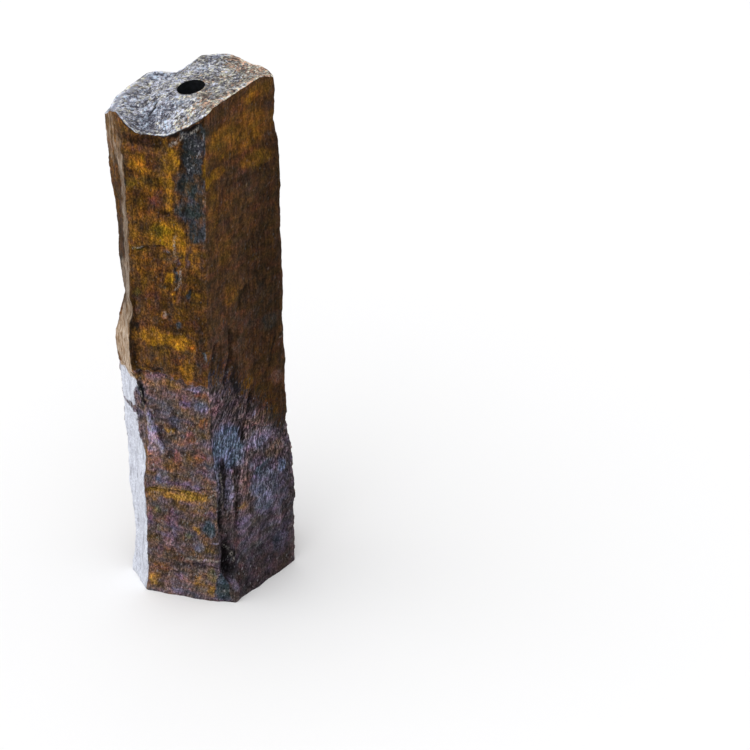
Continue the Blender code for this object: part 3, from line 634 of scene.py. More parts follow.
# ---- The net -------------------------------------------------------------------------------------
class Net:
    """The stone's skin as rings of vertices, with each vertex's zone, flank and place on its flank."""

    def __init__(self, bore_radius):
        self.rings, self.alongs, self.zones = [], [], []
        rim = rim_heights()
        heights = [np.full(len(rim), LEVEL_TOP * i / LEVEL_RINGS) for i in range(LEVEL_RINGS + 1)]
        heights += [LEVEL_TOP + (rim - LEVEL_TOP) * i / RIM_RINGS for i in range(1, RIM_RINGS + 1)]
        for height in heights:
            ring, along = ring_at(height)
            self.add(weathered(ring, rim), along, FLANK)
        foot, edge = self.rings[0], self.rings[-1]
        foot[:, 2] = 0
        edge[:, 2] = head_height(edge[:, 0], edge[:, 1])
        corners = np.concatenate(self.rings)[:, :2]
        middle = (corners.min(axis=0) + corners.max(axis=0)) / 2
        for ring in self.rings:
            ring[:, :2] -= middle
        self.cross_head(edge, middle, bore_radius)

        self.points = np.array(self.rings)
        rings, columns = self.points.shape[:2]
        self.skin = self.points.reshape(-1, 3)
        self.height = self.skin[:, 2]
        self.along = np.concatenate(self.alongs)
        self.zone = np.repeat(self.zones, columns)
        self.side = np.tile(np.repeat(np.arange(6), COLUMNS), rings)  # which flank is beside or below
        self.flank = np.where(self.zone == FLANK, self.side, NO_FLANK)
        self.from_rim = np.linalg.norm(self.points - edge, axis=-1).ravel()

    def add(self, ring, along, zone):
        self.rings.append(ring)
        self.alongs.append(along)
        self.zones.append(zone)

    def cross_head(self, edge, middle, bore_radius):
        """The rings over the head, down the bore and out under the foot."""
        angle = np.arctan2(edge[:, 1], edge[:, 0])
        bore = bore_radius * np.column_stack([np.cos(angle), np.sin(angle)])
        nothing = np.zeros(len(edge))
        for step in range(1, HEAD_RINGS + 1):
            share = step / HEAD_RINGS
            xy = edge[:, :2] * (1 - share) + bore * share
            self.add(head_point(xy, middle), nothing, HEAD)
        mouth = self.rings[-1][:, 2]
        for step in range(1, BORE_RINGS + 1):
            self.add(np.column_stack([bore, mouth * (1 - step / BORE_RINGS)]), nothing, BORE)
        foot = self.rings[0]
        for step in range(1, FOOT_RINGS):
            share = step / FOOT_RINGS
            self.add(np.column_stack([bore * (1 - share) + foot[:, :2] * share, nothing]), nothing, FOOT)

    def row_zones(self):
        """The zone of each row of faces, between one ring and the next; the last row closes the foot."""
        return np.array(self.zones[1:] + [FOOT])


def mark_masks(flank, rows, net, sway):
    """How strongly each of these marks covers each point, with a swayed edge: the marks one by one."""
    for middle, level, half_width, half_height, strength in rows:
        gap = np.hypot((net.along + sway[0] - middle * MM) / (half_width * MM),
                       (net.height + sway[1] - level * MM) / (half_height * MM))
        yield np.where(net.flank == flank, strength * smooth(MARK_REACH - gap, 0, MARK_FADE), 0)


def stain_fields(net, sway):
    """How warm, how red and how pale the marks leave the skin at each point; the right flank starts darker
    as painted shade.
    """
    warmth = np.where(net.flank == FRONT, FRONT_WARMTH, 0.0)
    paleness = np.where(net.flank == RIGHT, RIGHT_SHADE, 0.0)
    fields = np.stack([warmth, np.zeros(len(warmth)), paleness])
    for kind, flanks in MARKS.items():
        target = np.array(KINDS[kind])[:, None]
        for flank, rows in flanks.items():
            for mask in mark_masks(flank, rows, net, sway):
                fields += (target - fields) * mask
    return fields


def crust_field(net):
    """Above zero where the brown crust is left, by how far above its lower edge a point is."""
    field = np.zeros_like(net.along)
    for flank, line in CRUST_LINES.items():
        here = net.flank == flank
        along = net.along[here]
        edge = line_height(line, along) + EDGE_WANDER * ragged(flank, along, EDGE_LENGTH, 0)
        field[here] = np.clip((net.height[here] - edge) / CRUST_FADE[flank], -1, 1)
    return field


def line_field(rows, flank, along, height):
    """1 on the thin marks, 0 at their half width and away from them."""
    field = np.zeros_like(along)
    for where, line, half_width in rows:
        near = 1 - line_gap(line, along, height) / (half_width * MM)
        field = np.where(flank == where, np.maximum(field, near), field)
    return field


def crack_and_shadow_field(net):
    """1 in the cracks of the skin and the head, and in the shadow under the rim of the front flank."""
    over_lip = np.interp(net.along, LIP_PLACES, LIP_WIDTHS)
    rim_shadow = np.where(net.flank == FRONT, 1 - net.from_rim / over_lip, 0)
    on_head = line_field([(NO_FLANK, *row) for row in HEAD_CRACKS], net.flank, *net.skin[:, :2].T)
    on_skin = line_field(CRACK_AND_SHADOW_LINES, net.flank, net.along, net.height)
    return np.maximum(on_skin, np.where(net.zone == HEAD, on_head, rim_shadow)).clip(0, 1)


def coat_and_sheen_field(net, sway):
    """1 where the left flank has its pale coat, partly a painted reflection of the bright floor, and below
    zero in the gaps of it.
    """
    coat_and_sheen = sum(mark_masks(LEFT, COAT, net, sway)).clip(0, 1)
    coat_and_sheen = np.maximum(coat_and_sheen, smooth(COAT_AND_SHEEN_TOP - net.height + sway[1], 0, COAT_AND_SHEEN_FADE))
    return np.where(net.flank == LEFT, coat_and_sheen, 0) - sum(mark_masks(LEFT, COAT_AND_SHEEN_GAPS, net, sway))


def blurred(grid, passes):
    """Values on the net, each averaged with its neighbours this many times."""
    for _ in range(passes):
        grid = (grid * 2 + np.roll(grid, 1, 1) + np.roll(grid, -1, 1)
                + np.concatenate([grid[:1], grid[:-1]]) + np.concatenate([grid[1:], grid[-1:]])) / 6
    return grid


# ---- Mesh ----------------------------------------------------------------------------------------
def stone_mesh(net):
    """A closed mesh over the net, with the zone of each face and the stains of each vertex."""
    rings, columns = net.points.shape[:2]
    corner = np.arange(rings * columns).reshape(rings, columns)
    right, up = np.roll(corner, -1, axis=1), np.roll(corner, -1, axis=0)
    faces = np.stack([corner, right, np.roll(right, -1, axis=0), up], axis=-1).reshape(-1, 4)
    mesh = bpy.data.meshes.new("basalt_stone")
    mesh.from_pydata(net.skin, [], faces)
    store(mesh, "zone", np.repeat(net.row_zones(), columns), "FACE", "INT")
    for name, values in vertex_fields(net).items():
        store(mesh, name, values)
    lay_out(mesh, net)
    return mesh


def store(mesh, name, values, domain="POINT", kind="FLOAT"):
    stored = np.ascontiguousarray(values, np.int32 if kind == "INT" else np.float32)
    mesh.attributes.new(name, kind, domain).data.foreach_set("value", stored)


def vertex_fields(net):
    """What the relief and the finishes read at each vertex, by name."""
    sway = [SWAY * rough(net.skin, SWAY_LENGTH, seed) for seed in SWAY_SEEDS]
    on_flank, on_head = net.zone == FLANK, net.zone == HEAD
    on_front, on_right = net.flank == FRONT, net.flank == RIGHT
    warmth, redness, paleness = stain_fields(net, sway)
    crust = crust_field(net)
    bevel = np.where(on_head & (net.side == BACK_LEFT), smooth(net.from_rim + sway[0], *BEVEL_EDGE), 0)
    ridged = smooth(net.height, *RIDGES_START) * smooth(RIDGES_TOP - net.height, 0, RIDGES_FADE)
    free = np.select([on_flank, on_head], [smooth(net.height, *STILL_FOOT), 1.0], 0.0)
    past_still = np.arange(len(net.zones)) - (MOUTH_ROW - STILL_RINGS)
    still = np.repeat((past_still / STILL_RINGS).clip(0, 1), sum(COLUMNS))
    return {
        "warmth": warmth, "redness": redness, "paleness": paleness, "crust": crust,
        "coat_and_sheen": coat_and_sheen_field(net, sway), "crack_and_shadow": crack_and_shadow_field(net), "bevel": bevel,
        "rim": np.where(on_head, 1 - net.from_rim / RIM_WIDTH, 0).clip(0, 1),
        "pale_line": line_field(PALE_LINES, net.flank, net.along, net.height),
        "right_side": np.where(on_right, 1.0, 0.0),
        "hackly": np.select([on_right, on_front], [0.45 + 0.9 * ridged, 0.4], 0.6),  # depth of the strokes
        "moving": free * (1 - still) * (1 - 0.7 * bevel),  # share of the relief
        "broken": np.where(on_head, 1.0, smooth(-crust, -0.4, 0.6) * on_flank),
    }


def lay_out(mesh, net):
    """A flat map of the skin: the flanks as one strip, the head, the foot and the bore beside it."""
    points = np.concatenate([net.points, net.points[:1]])
    points = np.concatenate([points, points[:, :1]], axis=1)
    level = net.points[LEVEL_RINGS // 2]
    steps = np.linalg.norm(np.roll(level, -1, axis=0) - level, axis=1)
    round_share = np.concatenate([[0], np.cumsum(steps)]) / steps.sum()
    width, _, tall = CAD_HIGH - CAD_LOW
    unrolled = np.stack([np.broadcast_to(round_share, points.shape[:2]), points[..., 2] / tall], axis=-1)
    seen_along_z = (points[..., :2] - CAD_LOW[:2]) / width
    uv = np.empty((*net.points.shape[:2], 4, 2))
    for zone, (corner, size) in MAP_PATCHES.items():
        rows = np.nonzero(net.row_zones() == zone)[0]
        place = np.array(corner) + size * (unrolled if zone in (FLANK, BORE) else seen_along_z)
        low, high = place[rows], place[rows + 1]
        uv[rows] = np.stack([low[:, :-1], low[:, 1:], high[:, 1:], high[:, :-1]], axis=2)
    layer = mesh.uv_layers.new(name="OFBake")
    layer.data.foreach_set("uv", uv.astype(np.float32).ravel())


# ---- Node helpers --------------------------------------------------------------------------------
class Graph:
    """Adds nodes to a tree, feeding each input a value or another node's output."""

    def __init__(self, tree):
        self.tree, self.count = tree, 0

    def add(self, kind, feeds=(), **settings):
        node = self.tree.nodes.new(kind)
        node.location = (220 * (self.count // 5), -260 * (self.count % 5))  # in columns of five
        self.count += 1
        for name, value in settings.items():
            setattr(node, name, value)
        for socket, value in dict(feeds).items():
            self.feed(node.inputs[socket], value)
        return node

    def feed(self, socket, value):
        if isinstance(value, bpy.types.NodeSocket):
            self.tree.links.new(value, socket)
        else:
            socket.default_value = value

    def math(self, operation, *values, clamp=False):
        return self.add("ShaderNodeMath", enumerate(values), operation=operation, use_clamp=clamp).outputs[0]

    def times(self, first, second):
        return self.math("MULTIPLY", first, second)

    def clamped(self, first, second):
        """Two values multiplied, and kept between 0 and 1."""
        return self.math("MULTIPLY", first, second, clamp=True)

    def over(self, value, divisor):
        return self.math("DIVIDE", value, divisor)

    def centred(self, tone):
        """A tone of 0 to 1 as a swing to both sides of zero."""
        return self.math("SUBTRACT", tone, 0.5)

    def total(self, base, *parts):
        """The base plus each value times its weight."""
        result = base
        for value, weight in parts:
            result = self.math("MULTIPLY_ADD", value, weight, result)
        return result

    def swings(self, base, *tones, plus=()):
        """The base plus each tone's distance from its middle times its weight, and these other parts."""
        return self.total(base - 0.5 * sum(weight for _, weight in tones), *plus, *tones)

    def between(self, factor, first, second):
        return self.add("ShaderNodeMix", {0: factor, 2: first, 3: second}).outputs[0]

    def range(self, value, low, high, to_low=0.0, to_high=1.0, kind="SMOOTHSTEP"):
        return self.add("ShaderNodeMapRange", {0: value, 1: low, 2: high, 3: to_low, 4: to_high},
                        interpolation_type=kind).outputs[0]

    def even_range(self, *values):
        return self.range(*values, kind="LINEAR")

    def vector(self, operation, *values):
        return self.add("ShaderNodeVectorMath", enumerate(values), operation=operation).outputs[0]

    def measure(self, operation, *values):
        """A vector operation that gives a single value."""
        return self.add("ShaderNodeVectorMath", enumerate(values), operation=operation).outputs["Value"]

    def scaled(self, vector, scale):
        return self.add("ShaderNodeVectorMath", {0: vector, "Scale": scale}, operation="SCALE").outputs[0]

    def off_middle(self, vector):
        return self.vector("SUBTRACT", vector, (0.5, 0.5, 0.5))

    def split(self, vector):
        return self.add("ShaderNodeSeparateXYZ", {0: vector}).outputs

    def squeezed(self, place, upright):
        """The place with its height divided, which makes the pattern on it that much taller."""
        shape = self.add("ShaderNodeCombineXYZ", {0: 1.0, 1: 1.0, 2: self.over(1.0, upright)})
        return self.vector("MULTIPLY", place, shape.outputs[0])

    def slanted(self, place, shortening):
        """The place in a frame that leans to the right on its way up, with its height shortened."""
        leaning = self.vector("SUBTRACT", place, self.scaled(LEAN, self.split(place)[2]))
        return self.vector("MULTIPLY", leaning, (1.0, 1.0, shortening))

    def noise(self, vector, scale, detail=3.0, roughness=0.55, output=0):
        feeds = {"Vector": vector, "Scale": scale, "Detail": detail, "Roughness": roughness}
        return self.add("ShaderNodeTexNoise", feeds).outputs[output]

    def mix(self, factor, first, second, blend="MIX"):
        node = self.add("ShaderNodeMix", data_type="RGBA", blend_type=blend)
        for socket, value in zip((node.inputs[0], node.inputs[6], node.inputs[7]), (factor, first, second)):
            self.feed(socket, value)
        return node.outputs[2]

    def tinted(self, colour, tinge):
        return self.mix(1.0, colour, tinge, "MULTIPLY")

    def lit(self, colour, light):
        """The colour made lighter above zero and darker below it, e times for each step of 1."""
        shade = dict.fromkeys(range(3), self.math("EXPONENT", light))
        return self.tinted(colour, self.add("ShaderNodeCombineXYZ", shade).outputs[0])

    def ramp(self, value, stops):
        node = self.add("ShaderNodeValToRGB", {0: value})
        elements = node.color_ramp.elements
        while len(elements) < len(stops):
            elements.new(1.0)
        for element, (place, colour) in zip(elements, stops):
            element.position, element.color = place, (*colour, 1.0)
        return node.outputs[0]

    def attribute(self, name):
        return self.add("ShaderNodeAttribute", attribute_name=name).outputs["Fac"]

    def named(self, name, kind="FLOAT"):
        """An attribute as Geometry Nodes read it."""
        return self.add("GeometryNodeInputNamedAttribute", {"Name": name}, data_type=kind).outputs[0]

    def group(self, tree, **feeds):
        return self.add("ShaderNodeGroup", feeds, node_tree=tree).outputs


def new_group(name, tree_kind, inputs, outputs):
    """A node tree with its graph, its inputs and its outputs, each named and given a default or a kind."""
    tree = bpy.data.node_groups.new(name, tree_kind)
    for sockets, side in ((inputs, "INPUT"), (outputs, "OUTPUT")):
        for label, given in sockets.items():
            kind = given if isinstance(given, str) else {float: "Float", int: "Int"}[type(given)]
            socket = tree.interface.new_socket(label, in_out=side, socket_type="NodeSocket" + kind)
            if given != kind:
                socket.default_value = given
    graph = Graph(tree)
    return tree, graph, graph.add("NodeGroupInput").outputs, graph.add("NodeGroupOutput").inputs


# ---- Geometry Nodes: the hackly break ------------------------------------------------------------
def facets(graph, place, size, depth):
    """Flat chips of about this size, each tipped its own way: how far each point stands out."""
    fineness, reach = CHIP_WOBBLE
    wobble = graph.off_middle(graph.noise(place, graph.over(fineness, size), 2.0, output=1))
    wobbled = graph.vector("ADD", place, graph.scaled(wobble, graph.times(size, reach)))
    cells_in = graph.scaled(wobbled, graph.over(1.0, size))
    cells = graph.add("ShaderNodeTexVoronoi", {"Vector": cells_in, "Scale": 1.0}).outputs
    tip = graph.off_middle(cells["Color"])
    from_middle = graph.vector("SUBTRACT", cells_in, cells["Position"])
    lean = graph.measure("DOT_PRODUCT", from_middle, tip)
    return graph.times(graph.math("ADD", graph.times(lean, CHIP_TIP), graph.split(tip)[0]), depth)


def hackle_tree():
    """Raises the skin into chips, flakes, striae and grain, and gives each zone its material."""
    tree, graph, given, result = new_group("Hackly Break", "GeometryNodeTree", {
        "Geometry": "Geometry", **BREAK_SIZES, "Seed": 1, **dict.fromkeys(FINISHES, "Material"),
    }, {"Geometry": "Geometry"})
    broken = graph.named("broken")
    place = graph.vector("ADD", graph.add("GeometryNodeInputPosition").outputs[0],
                         graph.scaled(SEED_STEP, given["Seed"]))
    chips = facets(graph, place, given["Chip Size"], given["Chip Depth"])
    flakes = facets(graph, place, given["Flake Size"], given["Flake Depth"])
    fresh = graph.even_range(broken, 0.0, 1.0, 0.3, 1.0)
    upright = graph.vector("MULTIPLY", place, (1.0, 1.0, STRIAE_SHORTENING))
    striae = graph.centred(graph.noise(upright, STRIAE_SCALE))
    striae = graph.times(striae, graph.even_range(broken, 0.0, 1.0, 0.3, 1.4))
    grain = graph.centred(graph.noise(place, GRAIN_SCALE, 3.0, 0.7))
    hackles = graph.centred(graph.noise(graph.slanted(place, HACKLE_SHORTENING), HACKLE_SCALE))
    hackles = graph.times(hackles, graph.times(broken, graph.named("hackly")))
    height = graph.total(
        graph.times(graph.math("ADD", chips, flakes), fresh), (striae, given["Striae Depth"]),
        (grain, given["Grain Depth"]), (hackles, given["Hackle Depth"]),
        (graph.named("crack_and_shadow"), -CRACK_DEPTH), (graph.named("pale_line"), PALE_LINE_HEIGHT))
    softened = graph.range(graph.named("coat_and_sheen"), 0.2, 0.9, 1.0, 0.25)
    height = graph.times(graph.times(height, softened), graph.named("moving"))
    offset = graph.scaled(graph.add("GeometryNodeInputNormal").outputs[0], height)
    moved = graph.add("GeometryNodeSetPosition", {"Geometry": given["Geometry"], "Offset": offset})
    kept = graph.add("GeometryNodeStoreNamedAttribute", {
        "Geometry": moved.outputs[0], "Name": "relief", "Value": height}, data_type="FLOAT", domain="POINT")
    shape = graph.add("GeometryNodeRealizeInstances", {"Geometry": kept.outputs[0]}).outputs[0]
    zone = graph.named("zone", "INT")
    for number, name in enumerate(FINISHES):
        chosen = graph.add("FunctionNodeCompare", {2: zone, 3: number}, data_type="INT", operation="EQUAL")
        shape = graph.add("GeometryNodeSetMaterial", {
            "Geometry": shape, "Selection": chosen.outputs[0], "Material": given[name]}).outputs[0]
    graph.feed(result[0], shape)
    return tree


def with_tree(obj, tree, values):
    """The object's mesh as the tree leaves it, with the tree's inputs set by name."""
    modifier = obj.modifiers.new(tree.name, "NODES")
    modifier.node_group = tree
    for item in tree.interface.items_tree:
        if item.item_type == "SOCKET" and item.in_out == "INPUT" and item.name in values:
            modifier[item.identifier] = values[item.name]
    evaluated = obj.evaluated_get(bpy.context.evaluated_depsgraph_get())
    mesh = bpy.data.meshes.new_from_object(evaluated)
    obj.modifiers.remove(modifier)
    return mesh


# ---- Shader groups shared by the stone's finishes ------------------------------------------------
def mottle_group():
    """Uneven tones from blotches of one size and its fractions, 0 to 1 about 0.5."""
    tree, graph, given, result = new_group("Stone Mottle", "ShaderNodeTree", {
        "Vector": "Vector", "Size": 0.02, "Upright": 1.0, "Fineness": 0.6, "Seed": 0.0,
    }, {"Tone": "Float", "Hue": "Float"})
    squeezed = graph.squeezed(given["Vector"], given["Upright"])
    place = graph.vector("ADD", squeezed, graph.scaled((1.3, 2.9, 0.7), given["Seed"]))
    scale = graph.over(1.0, given["Size"])
    graph.feed(result["Tone"], graph.noise(place, scale, 5.0, given["Fineness"]))
    shifted = graph.vector("ADD", place, (5.1, 3.3, 8.8))
    graph.feed(result["Hue"], graph.noise(shifted, scale, 3.0, given["Fineness"]))
    return tree


def ragged_group():
    """A mask with a ragged edge, from a field that is above zero inside it."""
    tree, graph, given, result = new_group("Ragged Mask", "ShaderNodeTree", {
        "Field": 0.0, "Vector": "Vector", "Size": 0.01, "Raggedness": 1.0, "Softness": 0.2, "Upright": 1.0,
    }, {"Mask": "Float"})
    place = graph.squeezed(given["Vector"], given["Upright"])
    tone = graph.noise(place, graph.over(1.0, given["Size"]), 5.0, 0.65)
    swing = graph.times(graph.centred(tone), graph.times(given["Raggedness"], 2.0))
    edge, soft = graph.math("ADD", given["Field"], swing), given["Softness"]
    graph.feed(result["Mask"], graph.range(edge, graph.times(soft, -1.0), soft))
    return tree


def specks_group():
    """Small crystals: which points lie on one, and a tone and a hue that are even across each."""
    tree, graph, given, result = new_group("Crystal Specks", "ShaderNodeTree", {
        "Vector": "Vector", "Size": 0.002, "Share": 0.3,
    }, {"Mask": "Float", "Tone": "Float", "Hue": "Float"})
    scale = graph.over(1.0, given["Size"])
    wobble = graph.off_middle(graph.noise(given["Vector"], scale, 2.0, output=1))
    wobbled = graph.vector("ADD", given["Vector"], graph.scaled(wobble, given["Size"]))
    cells = graph.add("ShaderNodeTexVoronoi", {"Vector": wobbled, "Scale": scale})
    tone, hue, chance = graph.add("ShaderNodeSeparateColor", {0: cells.outputs["Color"]}).outputs
    low, high = (graph.math(side, given["Share"], 0.03) for side in ("ADD", "SUBTRACT"))
    graph.feed(result["Mask"], graph.range(chance, low, high))
    graph.feed(result["Tone"], tone)
    graph.feed(result["Hue"], hue)
    return tree


# ---- Finishes ------------------------------------------------------------------------------------
class Finish(Graph):
    """A new material's graph, with the patterns that the stone's finishes share."""

    def __init__(self, name, groups):
        self.material = bpy.data.materials.new(name)
        self.material.use_nodes = True
        super().__init__(self.material.node_tree)
        self.groups = groups
        self.place = self.add("ShaderNodeTexCoord").outputs["Object"]

    def mottle(self, size, upright=1.0, fineness=0.6, seed=0.0, place=None):
        return self.group(self.groups["mottle"], Vector=place or self.place, Size=size, Upright=upright,
                          Fineness=fineness, Seed=seed)

    def specks(self, size, share=0.3, place=None):
        return self.group(self.groups["specks"], Vector=place or self.place, Size=size, Share=share)

    def ragged(self, field, size, raggedness, softness, upright=1.0):
        return self.group(self.groups["ragged"], Field=field, Vector=self.place, Size=size,
                          Raggedness=raggedness, Softness=softness, Upright=upright)["Mask"]

    def finish(self, colour, roughness, specular, bump_depth, *heights):
        """The material with its shader fed: the bump follows these heights, each with its strength."""
        shader = self.tree.nodes["Principled BSDF"]
        self.feed(shader.inputs["Base Color"], colour)
        self.feed(shader.inputs["Roughness"], roughness)
        shader.inputs["Specular IOR Level"].default_value = specular
        bump = self.add("ShaderNodeBump", {
            "Height": self.total(0.0, *heights), "Distance": bump_depth, "Strength": 1.0})
        self.feed(shader.inputs["Normal"], bump.outputs[0])
        return self.material


class Skin(Finish):
    """The graph of the weathered skin, with the marks on it and its uneven tones by name."""

    def __init__(self, groups):
        super().__init__("weathered_skin", groups)
        self.field = {name: self.attribute(name) for name in SKIN_FIELDS}
        tones = {name: self.mottle(*numbers) for name, numbers in SKIN_TONES.items()}
        tones["stroke"] = self.mottle(*STROKE_TONE, self.slanted(self.place, HACKLE_SHORTENING))
        self.tone, self.hue = ({name: outputs[kind] for name, outputs in tones.items()}
                               for kind in ("Tone", "Hue"))
        torn = self.times(self.centred(self.tone["stroke"]), self.field["right_side"])
        self.crust = self.ragged(self.total(self.field["crust"], (torn, CRUST_TEAR)), *CRUST_EDGE)
        self.crisp = self.range(self.tone["grain"], 0.36, 0.64, -0.14, 0.14)

    def stained(self):
        """The crust and the bare rock in the colours that the marks and the slow tones give them."""
        field, tone, hue = self.field, self.tone, self.hue
        calm = self.even_range(field["right_side"], 0.0, 1.0, 1.0, 0.5)
        shades = self.swings(0.0, (hue["blotch"], 0.5), (tone["spot"], 1.0), (hue["streak"], 0.4),
                             (hue["grain"], 0.2), (hue["tint"], 0.4))
        brown = self.total(0.47, (field["warmth"], 0.40), (shades, calm), (field["right_side"], -0.05))
        shades = self.swings(0.0, (hue["blotch"], 0.9), (hue["layer"], 0.85), (hue["tint"], 0.5))
        bare = self.total(0.50, (field["warmth"], 0.38), (shades, calm), (field["right_side"], -0.09))
        redness = self.swings(0.48, (tone["tint"], 0.6), (tone["layer"], 0.75),
                              plus=[(field["redness"], 0.45)])
        colour = self.mix(self.crust, self.ramp(bare, BARE_COLOURS), self.ramp(brown, CRUST_COLOURS))
        return self.tinted(colour, self.ramp(redness, SKIN_TINGES))

    def light(self, strokes):
        """How light each point is, from its grain, its strokes, its marks, its worn edges and painted shade
        in its hollows; some marks are painted shade too.
        """
        field, tone = self.field, self.tone
        light = self.swings(0.0, (tone["spot"], 0.9), (tone["tint"], 1.1), (tone["layer"], 0.9),
                            plus=[(self.crisp, 4.1)])
        striped = self.between(self.crust, self.total(0.5, (field["hackly"], 7.5)),
                               self.total(2.4, (field["right_side"], 1.2)))
        stripes = self.times(self.range(strokes, 0.39, 0.61, -0.12, 0.12), striped)
        quiet = self.even_range(self.crust, 0.0, 1.0, 0.8, 0.66)
        light = self.times(self.math("ADD", light, stripes),
                           self.even_range(field["right_side"], 0.0, 1.0, 1.0, quiet))
        # Painted shade darkens the hollows; worn edges are paler
        hollow_shade, edge = self.range(field["shade_and_wear"], -0.15, -1.2), self.range(field["shade_and_wear"], 0.3, 1.2)
        return self.total(light, (field["paleness"], 1.0), (hollow_shade, -0.45), (edge, 0.2))

    def coat_and_sheen(self):
        """The pale coat, tan on the crust and chalky below it, and where it is; the chalky part is partly a
        painted reflection of the bright floor.
        """
        tan = self.ramp(self.even_range(self.hue["streak"], 0.3, 0.7), TAN_COAT)
        chalk_and_sheen = self.ramp(self.even_range(self.tone["streak"], 0.3, 0.7), CHALK_AND_SHEEN)
        shade = self.swings(0.0, (self.tone["tint"], 0.6),
                            plus=[(self.field["paleness"], 0.8), (self.crisp, 1.1)])
        coat_and_sheen_mask = self.ragged(self.total(-1.0, (self.field["coat_and_sheen"], 2.0)), *COAT_AND_SHEEN_EDGE)
        return self.lit(self.mix(self.crust, chalk_and_sheen, tan), shade), coat_and_sheen_mask

    def flecked(self, colour):
        """The colour with small grey crystals, most of them where the rock broke last."""
        fresh = self.times(self.range(self.field["warmth"], -0.86, -0.98), self.crust)
        share = self.total(0.035, (fresh, self.range(self.hue["tint"], 0.40, 0.60, 0.0, 0.25)))
        fleck = self.specks(FLECK_SIZE, share, self.slanted(self.place, FLECK_SHORTENING))
        shown = self.total(0.45, (self.crust, -0.35), (fresh, 0.4))
        return self.mix(self.times(fleck["Mask"], self.times(fleck["Tone"], shown)), colour, FLECK_COLOUR)


def skin_material(groups, look):
    """Brown iron crust over bare purple rock, both stained by the marks; a pale coat on the left flank,
    which is partly a painted reflection of the bright floor.
    """
    skin = Skin(groups)
    strokes = skin.between(skin.crust, skin.tone["stroke"], skin.tone["streak"])
    coat_and_sheen_colour, coat_and_sheen_mask = skin.coat_and_sheen()
    colour = skin.mix(coat_and_sheen_mask, skin.lit(skin.stained(), skin.light(strokes)), coat_and_sheen_colour)
    # Dark cracks, and the painted shadow under the rim of the front flank
    cracks_and_shadow = skin.clamped(skin.field["crack_and_shadow"], skin.range(skin.tone["spot"], 0.40, 0.52, 0.15, 1.1))
    colour = skin.mix(skin.times(cracks_and_shadow, 0.8), colour, CRACK_AND_SHADOW_COLOUR)
    pale = skin.clamped(skin.field["pale_line"], skin.range(skin.hue["grain"], 0.44, 0.56, 0.0, 0.9))
    colour = skin.flecked(skin.mix(pale, colour, PALE_LINE_COLOUR))
    roughness = skin.between(coat_and_sheen_mask, skin.total(0.36, (skin.hue["spot"], 0.4)), 0.30)
    return skin.finish(colour, roughness, 0.02, look.bump_depth, (skin.tone["grain"], 1.0),
                       (skin.tone["spot"], 1.2), (strokes, 1.6), (cracks_and_shadow, -1.0))


def head_material(groups, look):
    """Freshly broken rock: a pale felt of small crystals, cool on the left and warmer on the right."""
    head = Finish("broken_head", groups)
    crystal, fine = head.specks(CRYSTAL_SIZE), head.specks(FINE_SIZE)
    blotch, spot = head.mottle(30 * MM, seed=3.0), head.mottle(8 * MM, seed=7.0)
    bevel, rim, crack_and_shadow, shade_and_wear = (head.attribute(name) for name in ("bevel", "rim", "crack_and_shadow", "shade_and_wear"))
    across = head.split(head.place)[0]
    tone = head.swings(0.51, (crystal["Tone"], 0.72), (fine["Tone"], 0.48), (spot["Tone"], 1.5),
                       (blotch["Tone"], 1.3))
    tone = head.between(head.times(bevel, 0.75), tone, 0.46)
    # Painted shade darkens the hollows of the head
    tone = head.total(tone, (head.range(shade_and_wear, -0.2, -1.2), -0.4), (head.range(across, -0.04, 0.04), -0.10),
                      (head.range(spot["Hue"], 0.42, 0.55), rim))
    warmer = head.total(head.even_range(across, -0.05, 0.07, -0.16, 0.30), (rim, 0.15))
    hue = head.math("ADD", head.swings(0.48, (crystal["Hue"], 0.62), (blotch["Hue"], 1.5)), warmer)
    colour = head.tinted(head.ramp(tone, HEAD_GREYS), head.ramp(hue, HEAD_TINGES))
    colour = head.mix(head.clamped(crack_and_shadow, 1.4), colour, HEAD_CRACK_COLOUR)
    return head.finish(colour, head.even_range(fine["Tone"], 0.0, 1.0, 0.75, 0.42), 0.3, look.bump_depth,
                       (crystal["Tone"], 1.6), (fine["Tone"], 0.9), (spot["Tone"], 2.0))


def bore_material(groups, look):
    """The drilled wall, with the rings that the core drill left: dark rock coloured almost black, which
    paints the shade deep in the hole.
    """
    bore = Finish("drilled_bore", groups)
    rings = bore.noise(bore.vector("MULTIPLY", bore.place, DRILL_RINGS), DRILL_SCALE)
    grain = bore.mottle(4 * MM, seed=1.0)
    roughness = bore.even_range(grain["Hue"], 0.35, 0.65, 0.45, 0.75)
    return bore.finish(bore.ramp(grain["Tone"], BORE_SHADE_COLOURS), roughness, 0.05, look.bump_depth,
                       (rings, 1.0), (grain["Tone"], 0.6))


def foot_material(groups, look):
    """The sawn foot: flat grey rock with faint curved saw marks."""
    foot = Finish("sawn_foot", groups)
    grain, blotch = foot.specks(FINE_SIZE), foot.mottle(40 * MM, seed=4.0)
    from_saw = foot.vector("SUBTRACT", foot.place, SAW_MIDDLE)
    saw_marks = foot.math("SINE", foot.times(foot.measure("LENGTH", from_saw), SAW_MARKS))
    stained = foot.range(blotch["Tone"], 0.45, 0.62, 0.0, 0.5)
    colour = foot.mix(stained, foot.ramp(grain["Tone"], FOOT_COLOURS), FOOT_STAIN)
    return foot.finish(colour, foot.even_range(grain["Hue"], 0.0, 1.0, 0.5, 0.7), 0.5, look.bump_depth,
                       (saw_marks, 0.25), (grain["Tone"], 0.4))


